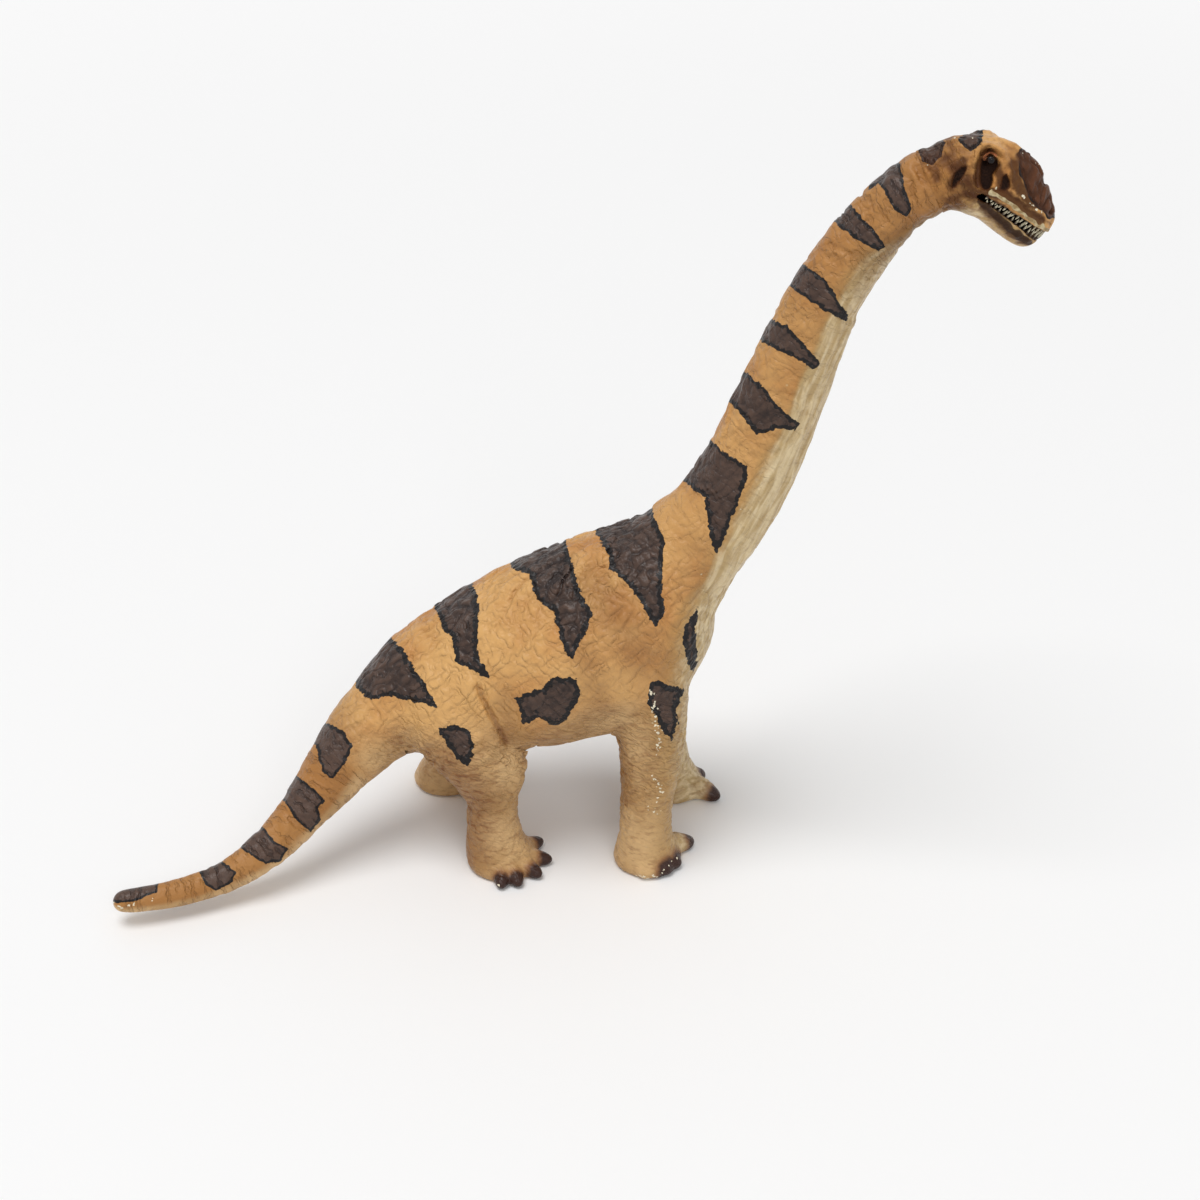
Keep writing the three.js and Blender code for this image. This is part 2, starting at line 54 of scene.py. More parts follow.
# Camera
# It stands off the figure's right side, 30 degrees above the floor, as the photograph's did.
# What is placed by a pixel of the 1200-pixel photograph is placed through it. Lengths are in mm.
mm = 0.001
photo_pixels = 1200
sensor_width = 36
lens = 66
camera_rise = math.radians(30)
camera_distance = 462
camera_target = np.array([7.05, 4.30, 58.0])
sight = np.array([0, math.cos(camera_rise), -math.sin(camera_rise)])
overhead = np.array([0, math.sin(camera_rise), math.cos(camera_rise)])
camera_place = camera_target - camera_distance * sight
pixels_per_slope = photo_pixels * lens / sensor_width


def in_photo(points):
    """The pixels of points, and how many mm one pixel covers at each."""
    away = points - camera_place
    depth = away @ sight
    slopes = np.stack([away[..., 0], -(away @ overhead)], -1) / depth[..., None]
    return photo_pixels / 2 + pixels_per_slope * slopes, depth / pixels_per_slope


camera = bpy.data.objects.new("camera", bpy.data.cameras.new("camera"))
camera.data.sensor_width = sensor_width
camera.data.lens = lens
camera.location = Vector(camera_place) * mm
camera.rotation_euler = (math.pi / 2 - camera_rise, 0, 0)
bpy.context.scene.collection.objects.link(camera)
bpy.context.scene.camera = camera


# Torso
# The solid body, moulded in soft vinyl with a leathery hide, and painted by hand. The skin is one
# surface over torso, tail and legs, cut at the seams, because putty and paint hide them.
skin_step = 0.33
skin_band = 14
coarse_step = 1.0
block_margin = 4.0
glue_gap = 0.3
seam_putty = 0.2
facet_blur = 1.7
fine_blur = 0.55
hide_reach = 1.1
crease_depth = 1.10
swell_depth = 0.13
leather_depth = 0.46
sharp_edge = math.radians(65)
points_at_once = 100000


def rows_of(items, field, kind=np.float32):
    """A field of three numbers, as a row for each of a mesh's items."""
    rows = np.empty((len(items), 3), kind)
    items.foreach_get(field, rows.ravel())
    return rows


def cad_surface(node):
    mesh = frame["nodes"][node].data
    mesh.calc_loop_triangles()
    triangles = rows_of(mesh.loop_triangles, "vertices", np.int32)
    return rows_of(mesh.vertices, "co") / mm, triangles.astype(np.uint32)


def cad_limits(node):
    return [np.array(corner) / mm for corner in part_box(node)]


class Clay:
    """A block of lattice points, each with its distance to the skin in mm, below zero inside."""

    def __init__(self, nodes, low, high, step):
        self.step = step
        self.first = np.floor(np.array(low) / step).astype(int)
        size = np.ceil(np.array(high) / step).astype(int) - self.first + 1
        self.values = np.full(size, skin_band * step, np.float32)
        lattice = openvdb.createLinearTransform(voxelSize=step)
        for node in nodes:
            points, triangles = cad_surface(node)
            grid = openvdb.FloatGrid.createLevelSetFromPolygons(
                points, triangles=triangles, transform=lattice, halfWidth=skin_band)
            block = np.empty(size, np.float32)
            grid.copyToArray(block, ijk=tuple(int(i) for i in self.first))
            np.minimum(self.values, block, out=self.values)

    def surface(self, level=0.0):
        """Points, in lattice steps from the block's first corner, and quads of a level surface."""
        grid = openvdb.FloatGrid()
        grid.background = float(skin_band * self.step)
        grid.copyFromArray(np.ascontiguousarray(self.values), ijk=(0, 0, 0), tolerance=0.0)
        points, quads = grid.convertToQuads(isovalue=level)
        return points.astype(np.float32), quads.astype(np.uint32)

    def close_seams(self, width):
        """Fills gaps narrower than twice the width, as putty does."""
        points, quads = self.surface(width)
        grid = openvdb.FloatGrid.createLevelSetFromPolygons(
            points, quads=quads, transform=openvdb.createLinearTransform(voxelSize=1.0),
            halfWidth=skin_band)
        grid.copyToArray(self.values, ijk=(0, 0, 0))
        self.values = self.values * self.step + width

    def blurred(self, blur):
        reach = math.ceil(3 * blur / self.step)
        weights = np.exp(-0.5 * (np.arange(-reach, reach + 1) * self.step / blur) ** 2)
        weights = (weights / weights.sum()).astype(np.float32)
        values = self.values
        for axis in range(3):
            pad = [(reach, reach) if other == axis else (0, 0) for other in range(3)]
            padded = np.pad(values, pad, mode="edge")
            count = values.shape[axis]
            values = np.zeros_like(values)
            for start, weight in enumerate(weights):
                window = [slice(None)] * 3
                window[axis] = slice(start, start + count)
                values += weight * padded[tuple(window)]
        return values

    def axes(self):
        """The block's three coordinates, shaped so that sums of them fill the block."""
        ranges = [self.step * (self.first[k] + np.arange(self.values.shape[k])) for k in range(3)]
        return np.meshgrid(*[r.astype(np.float32) for r in ranges], indexing="ij", sparse=True)

    def near_skin(self, reach):
        where = np.nonzero(np.abs(self.values) < reach)
        return where, (np.stack(where, -1) + self.first) * self.step

    def read(self, values, points):
        """Values of the lattice at any points, mixed from the eight corners round each."""
        place = np.clip(points / self.step - self.first, 0, np.array(values.shape) - 1.001)
        cell = place.astype(int)
        part = place - cell
        total = np.zeros(len(points))
        for corner in np.ndindex(2, 2, 2):
            share = np.prod(np.where(corner, part, 1 - part), axis=1)
            total += share * values[tuple((cell + corner).T)]
        return total

    def skin(self):
        points, quads = self.surface()
        return (points + self.first) * self.step, quads.tolist()


def ramp(value, low, high):
    """0 below low, 1 above high, and smooth between them."""
    share = np.clip((value - low) / (high - low), 0, 1)
    return share * share * (3 - 2 * share)


def scattered(cells, seed):
    """A number from 0 to 1 for each whole-numbered cell, the same on every run."""
    x, y, z = (cells[..., axis].astype(np.int32).view(np.uint32) for axis in range(3))
    mixed = (x * np.uint32(0x9E3779B1)) ^ (y * np.uint32(0x85EBCA77))
    mixed ^= (z * np.uint32(0xC2B2AE3D)) ^ np.uint32(seed * 0x27D4EB2F & 0xFFFFFFFF)
    for shift, factor in ((15, 0x2C1B3C6D), (12, 0x297A2D39)):
        mixed ^= mixed >> np.uint32(shift)
        mixed *= np.uint32(factor)
    mixed ^= mixed >> np.uint32(15)
    return mixed.astype(np.float32) / np.float32(2.0 ** 32)


def lumps(points, seed):
    """Smooth noise from -1 to 1, with one lump to a unit."""
    cell = np.floor(points)
    part = (points - cell).astype(np.float32).T
    part = part * part * (3 - 2 * part)
    cell = cell.astype(np.int32)
    total = np.zeros(len(points), np.float32)
    for corner in np.ndindex(2, 2, 2):
        share = np.ones(len(points), np.float32)
        for axis in range(3):
            share *= part[axis] if corner[axis] else 1 - part[axis]
        total += share * scattered(cell + np.array(corner, np.int32), seed)
    return 2 * total - 1


def shifts(points, *seeds):
    """Smooth noise in as many directions as seeds."""
    return np.stack([lumps(points, seed) for seed in seeds], -1)


def stretched(points, way, along, across):
    """The points in units of one length along a way and of another across it."""
    way = np.array(way) / np.linalg.norm(way)
    run = (points @ way)[:, None] * way
    return (points - run) / across + run / along


def wandering_creases(points, way, along, across, seed):
    """1 on creases that wander along one way, in patches, and 0 between them."""
    off = np.abs(lumps(stretched(points, way, along, across), seed))
    return np.clip(1 - off / 0.5, 0, 1) ** 1.4 * ramp(lumps(points / 6.5, seed + 50), -0.7, 0.2)


def middle_line(node, axis, count, low_share, high_share):
    """Points along the middle of a node, from slices across one axis between two shares of it."""
    low, high = cad_limits(node)
    block = Clay([node], low, high, coarse_step)
    inside = (np.argwhere(block.values < 0) + block.first) * coarse_step
    stops = low[axis] + (high - low)[axis] * np.linspace(low_share, high_share, count + 1)
    return [inside[(inside[:, axis] >= a) & (inside[:, axis] < b)].mean(0)
            for a, b in zip(stops, stops[1:])]


# The body's middle line from tail to head, with the ways ahead, left and towards the back on it
tail_stops, torso_stops, neck_stops = 10, 6, 10
head_low, head_high = cad_limits("head")
body_line = np.array([
    *middle_line("tail", 0, tail_stops, 0.0, 0.86),
    *middle_line("torso", 0, torso_stops, 0.16, 0.80),
    *middle_line("neck", 2, neck_stops, 0.08, 0.86),
    (head_low + head_high) / 2,
])
line_steps = np.concatenate([[0], np.cumsum(np.linalg.norm(np.diff(body_line, axis=0), axis=1))])
line_along = np.arange(0, line_steps[-1], coarse_step)
line_points = np.stack([np.interp(line_along, line_steps, body_line[:, k]) for k in range(3)], -1)
for _ in range(6):
    line_points[1:-1] = (line_points[:-2] + 2 * line_points[1:-1] + line_points[2:]) / 4
line_ahead = np.gradient(line_points, axis=0)
line_ahead /= np.linalg.norm(line_ahead, axis=1)[:, None]
line_left = np.cross([0, 0, 1], line_ahead)
line_left /= np.linalg.norm(line_left, axis=1)[:, None]
line_back = np.cross(line_ahead, line_left)


def along_body(points):
    """For each point: its length along the body, and how far left and towards the back it lies."""
    nearest = np.empty(len(points), int)
    for start in range(0, len(points), points_at_once):
        some = slice(start, start + points_at_once)
        gap = (line_points ** 2).sum(1) - 2 * points[some] @ line_points.T
        nearest[some] = gap.argmin(1)
    away = points - line_points[nearest]
    along = line_along[nearest] + (away * line_ahead[nearest]).sum(1)
    left = (away * line_left[nearest]).sum(1)
    back = (away * line_back[nearest]).sum(1)
    return along, left, back, nearest


tail_end = line_steps[tail_stops - 1]
neck_start = line_steps[tail_stops + torso_stops]
face_start = (head_low + head_high)[0] / 2


def hide(points):
    """How deep the hide is pressed in at points near the skin, and how creased it is there."""
    along, left, back, _ = along_body(points)
    x, _, z = points.T
    tail = ramp(-along, -tail_end - 6, -tail_end + 6)
    neck = ramp(along, neck_start - 6, neck_start + 10)
    low_down = (1 - tail) * (1 - neck) * ramp(-z, -44, -30)
    trunk = np.clip(1 - tail - neck - low_down, 0, 1)
    bend = shifts(points / 4.0, 1, 2, 3)
    wander = points + 0.9 * bend
    patchy = 0.7 + 0.3 * lumps(points / 9.0, 4)

    leather = np.max([wandering_creases(wander, (0.60, 0.35, 0.72), 8.0, 2.2, 5),
                      0.9 * wandering_creases(wander, (0.66, -0.35, -0.66), 7.0, 2.4, 11),
                      0.7 * wandering_creases(wander, (0.95, 0.20, 0.20), 8.0, 3.0, 12)], axis=0)
    leather *= 0.38 + 0.62 * ramp(z - 0.35 * np.minimum(x, 0), 48, 70)
    wrinkled = np.maximum(wandering_creases(wander, (0.80, 0.30, 0.45), 5.0, 1.5, 7),
                          0.9 * wandering_creases(wander, (0.80, 0.30, -0.45), 4.5, 1.7, 13))
    wrinkled *= 0.65 + 0.35 * ramp(z, 10, 28)
    rings = lumps(np.stack([(along + 1.1 * bend[:, 0]) / 1.3, left / 4.0, back / 4.0], -1), 8)
    rings = ramp(rings, -0.1, 0.6)
    front = ramp(-back, 0.0, 5.0)
    streaks = lumps(np.stack([along / 9.0, left / 1.5, back / 1.8], -1), 9)
    streaks = ramp(streaks, -0.1, 0.6) * neck * front

    crease = 0.95 * trunk * leather + 0.6 * low_down * wrinkled
    crease += tail * (0.25 * rings + 0.60 * leather)
    bent_up = neck * ramp(z, 112, 138)
    face = ramp(x, face_start - 3, face_start + 3)
    crease += (neck - 0.7 * bent_up) * (1 - front) * 0.6 * leather
    crease += (0.12 * neck * rings + 0.6 * (1 - bent_up) * streaks
               + 0.5 * bent_up * (1 - face) * rings)
    crease = np.clip(crease * patchy, 0, 1.2)
    calm = 0.35 + 0.65 * ramp(z, 1.0, 6.0)
    swell = swell_depth * lumps(points / 3.1, 10) - swell_depth
    thin = ramp(along, 0, 24)
    depth = (crease_depth * crease - swell) * (0.30 + 0.70 * thin) * calm
    return depth, crease


stripe_outlines = [
    [(868, 180), (896, 150), (903, 176), (906, 193), (912, 209), (907, 217), (895, 211), (887, 196),
     (879, 184), (869, 189)],
    [(822, 214), (840, 190), (850, 204), (863, 219), (873, 228), (885, 246), (879, 251), (858, 241),
     (844, 230), (834, 222)],
    [(777, 280), (792, 256), (803, 264), (825, 279), (836, 297), (848, 315), (846, 321), (823, 310),
     (800, 295), (789, 286)],
    [(745, 334), (760, 311), (771, 319), (787, 326), (800, 339), (821, 364), (816, 370), (792, 357),
     (769, 346), (758, 339)],
    [(716, 396), (733, 364), (745, 372), (765, 388), (778, 406), (799, 424), (796, 430), (776, 429),
     (756, 435), (747, 422), (738, 411), (729, 402)],
    [(668, 470), (700, 428), (711, 440), (729, 455), (747, 466), (747, 478), (736, 507), (725, 536),
     (717, 556), (710, 538), (705, 498), (693, 489), (683, 480)],
    [(588, 515), (644, 490), (650, 505), (655, 518), (665, 543), (662, 564), (662, 587), (664, 612),
     (655, 627), (647, 614), (636, 595), (624, 580), (610, 570), (607, 553), (597, 535),
     (594, 531)],
    [(504, 552), (560, 520), (565, 539), (573, 566), (581, 595), (593, 614), (586, 631), (578, 645),
     (573, 660), (565, 651), (555, 621), (553, 611), (536, 599), (530, 576), (512, 568)],
    [(424, 592), (464, 565), (472, 582), (478, 596), (478, 655), (489, 678), (456, 663), (453, 653),
     (453, 637), (445, 633), (439, 617), (434, 607)],
    [(340, 668), (383, 622), (393, 640), (403, 649), (417, 673), (425, 683), (437, 707), (389, 696),
     (369, 700), (356, 688), (354, 679)],
    [(318, 712), (327, 723), (345, 733), (353, 746), (345, 763), (332, 780), (322, 771), (316, 746),
     (306, 733)],
    [(286, 768), (297, 776), (316, 791), (325, 801), (317, 808), (321, 819), (311, 832), (297, 821),
     (284, 801), (274, 794)],
    [(253, 818), (264, 828), (276, 843), (289, 848), (281, 861), (266, 864), (254, 857), (244, 851),
     (233, 842)],
    [(194, 862), (220, 853), (223, 862), (236, 872), (233, 882), (216, 891), (206, 886),
     (199, 871)],
    [(104, 899), (112, 880), (158, 872), (158, 892), (133, 902), (113, 903)],
    [(438, 728), (453, 725), (470, 730), (475, 746), (468, 766), (456, 758), (447, 744)],
    [(515, 698), (543, 688), (553, 677), (577, 679), (580, 696), (565, 722), (553, 725), (538, 718),
     (522, 726), (521, 714)],
    [(649, 683), (655, 680), (672, 686), (683, 690), (676, 710), (678, 723), (671, 742), (662, 729),
     (653, 713), (648, 702)],
    [(698, 606), (683, 627), (683, 643), (689, 667), (694, 673), (697, 660), (696, 625)],
    [(957, 139), (962, 136), (966, 124), (984, 124), (981, 145), (970, 151), (962, 145)],
    [(919, 153), (916, 143), (938, 132), (946, 144), (941, 157), (932, 165), (922, 161)],
]
stripe_margin = 14.0
# How much further from a stripe skin counts as lying where the brush didn't reach
unpainted = 8
# How far the left legs stand behind the right ones, at the places of the hind and the fore legs
left_leg_places = [-30, 22]
left_leg_steps = [14.5, -6.5]
# Strokes: a path over the photograph, its width in pixels, and its depth in mm or its strength
thigh_fold = ([(479, 688), (486, 704), (495, 721), (506, 742)], 5, 1.0)
hollows = [
    thigh_fold,
    ([(490, 684), (503, 708), (514, 734)], 24, 0.9),
    ([(583, 650), (588, 685), (600, 712)], 26, 0.6),
    ([(640, 660), (650, 690)], 20, 0.3),
    ([(466, 684), (474, 700), (485, 720), (494, 742)], 14, -0.7),
]
# Darker patches: painted shade in the hollows at the shoulder, behind the fore leg and beside the
# thigh's fold, and brown wash on the legs
shade_and_brown_patches = [
    ([(596, 590), (622, 625), (640, 655)], 45, 0.55), ([(700, 540), (690, 590)], 30, 0.2),
    ([(440, 760), (475, 800), (470, 850)], 40, 0.8), ([(585, 655), (600, 705)], 30, 0.5),
    ([(505, 700), (512, 735), (560, 745)], 22, 0.5), ([(618, 730), (624, 800)], 16, 0.5),
    ([(400, 740), (440, 790)], 30, 0.35), ([(345, 700), (330, 770)], 30, 0.3),
]
wear_paths = [
    ([(651, 692), (656, 715), (659, 738), (657, 751)], 7, 1),
    ([(654, 776), (663, 794), (655, 801)], 5, 1), ([(649, 808), (657, 814)], 4, 1),
    ([(637, 875), (648, 880), (657, 876)], 6, 1), ([(662, 872), (676, 858)], 4, 1),
    ([(114, 903), (122, 908), (134, 903)], 5, 1), ([(150, 893), (153, 900)], 3, 1),
    ([(498, 885), (506, 888)], 4, 1), ([(955, 137), (962, 135.5)], 4.2, 1),
    ([(967, 139.5), (974, 137.5)], 4.4, 1), ([(930, 164), (932, 162)], 4.4, 1),
    ([(1019, 148), (1022, 153)], 3.2, 1), ([(1036, 163), (1041, 171)], 3, 1),
    ([(995.5, 188), (1000, 192)], 3.4, 1),
    ([(1022.5, 195), (1029, 202), (1035, 208), (1042, 213)], 3, 1),
]


def distance_along(pixels, path):
    """Pixels to the nearest place of a path of straight stretches."""
    corners = np.array(path, float)
    best = np.full(len(pixels), 1e9)
    for start, end in zip(corners, corners[1:]):
        side = end - start
        away = pixels - start
        share = np.clip(away @ side / (side @ side), 0, 1)
        best = np.minimum(best, np.linalg.norm(away - share[:, None] * side, axis=1))
    return best


def distance_inside(pixels, outline):
    """Pixels to the edge of an outline: below zero inside it."""
    corners = np.array(outline, float)
    inside = np.zeros(len(pixels), bool)
    for start, end in zip(corners, np.roll(corners, -1, axis=0)):
        crosses = (start[1] > pixels[:, 1]) != (end[1] > pixels[:, 1])
        slope = (end[0] - start[0]) / ((end[1] - start[1]) or 1e-9)
        inside ^= crosses & (pixels[:, 0] < start[0] + (pixels[:, 1] - start[1]) * slope)
    best = distance_along(pixels, [*outline, outline[0]])
    return np.where(inside, -best, best)


def near_path(pixels, path, width):
    """1 on a path over the photograph and 0 a width of pixels away from it."""
    return ramp(-distance_along(pixels, path), -width, 0)


def strokes(pixels, paths, join=np.max):
    """What strokes along paths over the photograph come to at pixels."""
    return join([strength * near_path(pixels, path, width)
                 for path, width, strength in paths], axis=0)


def facing(clay, points):
    """The way the skin faces at points, evened out over its creases."""
    ways = np.stack([clay.read(clay.values, points + reach) - clay.read(clay.values, points - reach)
                     for reach in 1.3 * np.eye(3)], -1)
    return ways / (np.linalg.norm(ways, axis=1)[:, None] + 1e-9)


def painted_pixels(points):
    """Pixels by which points take their paint, and how far each takes it from the other side: the
    left side takes the right side's, mirrored."""
    _, left, back, nearest = along_body(points)
    direct, _ = in_photo(points)
    swapped = points - 2 * left[:, None] * line_left[nearest]
    low = ramp(-points[:, 2], -56, -42)
    swapped[:, 0] += low * np.interp(points[:, 0], left_leg_places, left_leg_steps)
    mirrored, _ = in_photo(swapped)
    mirrored += 7 * shifts(points / 11.0, 21, 22)
    outward = left[:, None] * line_left[nearest] + back[:, None] * line_back[nearest]
    outward /= np.linalg.norm(outward, axis=1)[:, None] + 1e-9
    hidden = ramp(outward @ sight, 0.0, 0.75) * (left > 0)
    return direct + hidden[:, None] * (mirrored - direct), hidden


def stripe_distance(points, normals):
    """Distance in mm to the nearest stripe's edge, below zero inside it. The brush didn't reach the
    insides of the legs and the belly, and left the left side bare low down behind the middle."""
    pixels, hidden = painted_pixels(points)
    _, _, _, nearest = along_body(points)
    across = (normals * line_left[nearest]).sum(1)
    mirrored = normals - 2 * across[:, None] * line_left[nearest]
    unseen = (normals + hidden[:, None] * (mirrored - normals)) @ sight
    best = np.full(len(points), stripe_margin)
    for outline in stripe_outlines:
        corners = np.array(outline)
        close = np.all((pixels > corners.min(0) - stripe_margin) &
                       (pixels < corners.max(0) + stripe_margin), axis=1)
        best[close] = np.minimum(best[close], distance_inside(pixels[close], outline))
    bare = hidden * ramp(-points[:, 2], -55, -52) * ramp(-points[:, 0], 0, 4)
    distance = best * in_photo(points)[1]
    return distance + unpainted * ramp(unseen, 0.1, 0.5) + unpainted * bare


def flat_face(node, towards, least_match=0.6):
    """The middle and the normal of a node's largest flat face that looks one way."""
    points, triangles = cad_surface(node)
    a, b, c = (points[triangles[:, k]].astype(float) for k in range(3))
    normals = np.cross(b - a, c - a)
    areas = np.linalg.norm(normals, axis=1)
    normals /= areas[:, None] + 1e-12
    offsets = (normals * a).sum(1)
    matched = (normals @ np.array(towards) > least_match) & (areas > 0)
    keys = np.round(np.column_stack([normals * 100, offsets * 10])).astype(int)
    _, members = np.unique(keys[matched], axis=0, return_inverse=True)
    largest = np.bincount(members.ravel(), areas[matched]).argmax()
    chosen = np.flatnonzero(matched)[members.ravel() == largest]
    normal = np.average(normals[chosen], axis=0, weights=areas[chosen])
    middle = np.average((a + b + c)[chosen] / 3, axis=0, weights=areas[chosen])
    return middle, normal / np.linalg.norm(normal)


def seam(node, towards, reach):
    """The seam at a node's flat end: its reach, its middle in the glue gap and its way out."""
    middle, normal = flat_face(node, towards)
    return reach, (middle + normal * glue_gap / 2, normal)


def other_side(reach, plane):
    """The same seam, for the piece beyond it."""
    return reach, (plane[0], -plane[1])


def cut_at(made, reach, *planes):
    """Takes off what lies beyond all the planes of a seam, near the first one's middle."""
    centre = Vector(planes[0][0]) * mm
    for middle, normal in planes:
        faces = [f for f in made.faces if (f.verts[0].co - centre).length < reach * mm]
        edges = {e for f in faces for e in f.edges}
        verts = {v for f in faces for v in f.verts}
        bmesh.ops.bisect_plane(made, geom=[*faces, *edges, *verts], dist=1e-8,
                               plane_co=Vector(middle) * mm, plane_no=Vector(normal))
    sides = [(Vector(middle) * mm, Vector(normal)) for middle, normal in planes]
    gone = [f for f in made.faces if (f.verts[0].co - centre).length < 1.2 * reach * mm
            and all((f.calc_center_median() - place).dot(way) > 1e-8 for place, way in sides)]
    bmesh.ops.delete(made, geom=gone, context="FACES")
    if len(planes) == 2:
        corner = [v for v in made.verts if v.is_boundary
                  and all(abs((v.co - place).dot(way)) < 2e-8 for place, way in sides)]
        if len(corner) == 2:
            made.edges.new(corner)


def keep_largest(made):
    """Takes off every loose bit but the largest."""
    parts, seen = [], set()
    for first in made.verts:
        if first not in seen:
            part = [first]
            seen.add(first)
            for vert in part:
                touching = [edge.other_vert(vert) for edge in vert.link_edges]
                fresh = [other for other in touching if other not in seen]
                seen.update(fresh)
                part += fresh
            parts.append(part)
    parts.sort(key=len)
    bmesh.ops.delete(made, geom=[vert for part in parts[:-1] for vert in part], context="VERTS")


def mould(node, neighbours, step):
    """The skin over a node and its neighbours with the hide pressed in, still uncut."""
    low, high = cad_limits(node)
    clay = Clay([node, *neighbours], low - block_margin, high + block_margin, step)
    clay.close_seams(seam_putty)
    if node == "head":
        close_mouth_and_cut_it(clay)
    else:
        x, _, z = clay.axes()
        soft = ramp(z, 5, 16) * ramp(x, -72, -50) * (1 - 0.6 * ramp(z, 70, 110))
        clay.values = clay.blurred(fine_blur) * (1 - soft) + clay.blurred(facet_blur) * soft
    if "leg" in node:
        add_knee_and_claws(clay, node)
    where, points = clay.near_skin(hide_reach)
    depth, crease = hide(points)
    if "leg" in node:
        nearest_claw = np.min([claw_distance(*points.T, *claw) for claw in clay.claws], axis=0)
        depth *= 0.15 + 0.85 * ramp(nearest_claw, 0.2, 1.5)
    if node == "head":
        pressed = face_relief(clay, where, points)
        depth = depth * 0.6 + pressed
        crease = crease * 0.7 + np.clip(pressed, 0, 1)
    else:
        pixels, _ = painted_pixels(points)
        depth += strokes(pixels, hollows, np.sum)
    clay.values[where] += depth
    if "leg" in node:
        clay.values = np.maximum(clay.values, -z)
    clay.creased = np.zeros_like(clay.values)
    clay.creased[where] = crease
    return clay


def closed_mesh(name, points, faces, seams=()):
    """A closed mesh from points in mm, cut at its seams, with its faces turned outwards."""
    mesh = bpy.data.meshes.new(name)
    mesh.from_pydata((np.array(points) * mm).tolist(), [], faces)
    made = bmesh.new()
    made.from_mesh(mesh)
    if seams:
        for one in seams:
            cut_at(made, *one)
        keep_largest(made)
        bmesh.ops.holes_fill(made, edges=[e for e in made.edges if e.is_boundary], sides=0)
    bmesh.ops.recalc_face_normals(made, faces=made.faces)
    if made.calc_volume(signed=True) < 0:
        bmesh.ops.reverse_faces(made, faces=made.faces)
    made.to_mesh(mesh)
    made.free()
    return mesh


def set_masks(mesh, **masks):
    """Keeps numbers with the points of a mesh, by which its paints are mixed."""
    for name, values in masks.items():
        values = np.asarray(values, np.float32)
        kind, field = ("FLOAT", "value") if values.ndim == 1 else ("FLOAT_VECTOR", "vector")
        mesh.attributes.new(name, kind, "POINT").data.foreach_set(field, values.ravel())


def mesh_points(mesh):
    return rows_of(mesh.vertices, "co").astype(float) / mm


def set_paint(mesh, clay):
    """Where the paints go on a piece, kept with its points: stripes, belly, throat and creases."""
    points = mesh_points(mesh)
    x, _, z = points.T
    along, left, back, _ = along_body(points)
    neck = ramp(along, neck_start - 12, neck_start + 8)
    chest = ramp(x, 14, 30) * ramp(-z, -80, -66)
    height = 34 + 10 * ramp(x, -30, 25) + 4 * lumps(points / 8.0, 31)
    below = ramp(height - z, -9, 9) * (1 - neck)
    lowness = -back / (np.hypot(left, back) + 1e-6)
    streaks = lumps(np.stack([along / 11.0, left / 1.6, back / 1.6], -1), 32)
    front = ramp(lowness + 0.16 * streaks, -0.30, 0.58)
    tail = ramp(-along, -tail_end - 4, -tail_end + 10)
    pixels, _ = painted_pixels(points)
    own_pixels, _ = in_photo(points)
    high_up = ramp(x, 46, 66) * ramp(z, 100, 130)
    low_side = ramp(lowness, -0.7, 0.2) * (1 - 0.5 * ramp(lowness, 0.4, 0.9))
    slack = np.clip(1 - 0.8 * tail - 0.4 * neck, 0, 1)
    set_masks(
        mesh,
        # Painted shade on the sides of the neck below the head
        murky=0.7 * neck * high_up * low_side,
        worn=strokes(own_pixels, wear_paths) * (left < 0),
        # Painted shade in hollows, and brown wash on the legs
        shady=strokes(pixels, shade_and_brown_patches),
        # A painted shadow line along the thigh's crease
        fold=strokes(pixels, [thigh_fold]),
        stripe=stripe_distance(points, facing(clay, points)),
        under=np.maximum(below * (1 - tail), tail * front),
        throat=np.clip((neck + 0.8 * chest) * front, 0, 1),
        crease=clay.read(clay.creased, points),
        folded=np.clip(below * (1 - tail), 0, 1),
        ringed=np.clip(tail + neck * (0.3 + 0.6 * ramp(z, 100, 150)), 0, 1),
        leathery=slack * (0.4 + 0.6 * ramp(z, 8, 34)),
        body=np.stack([along, left, back], -1))


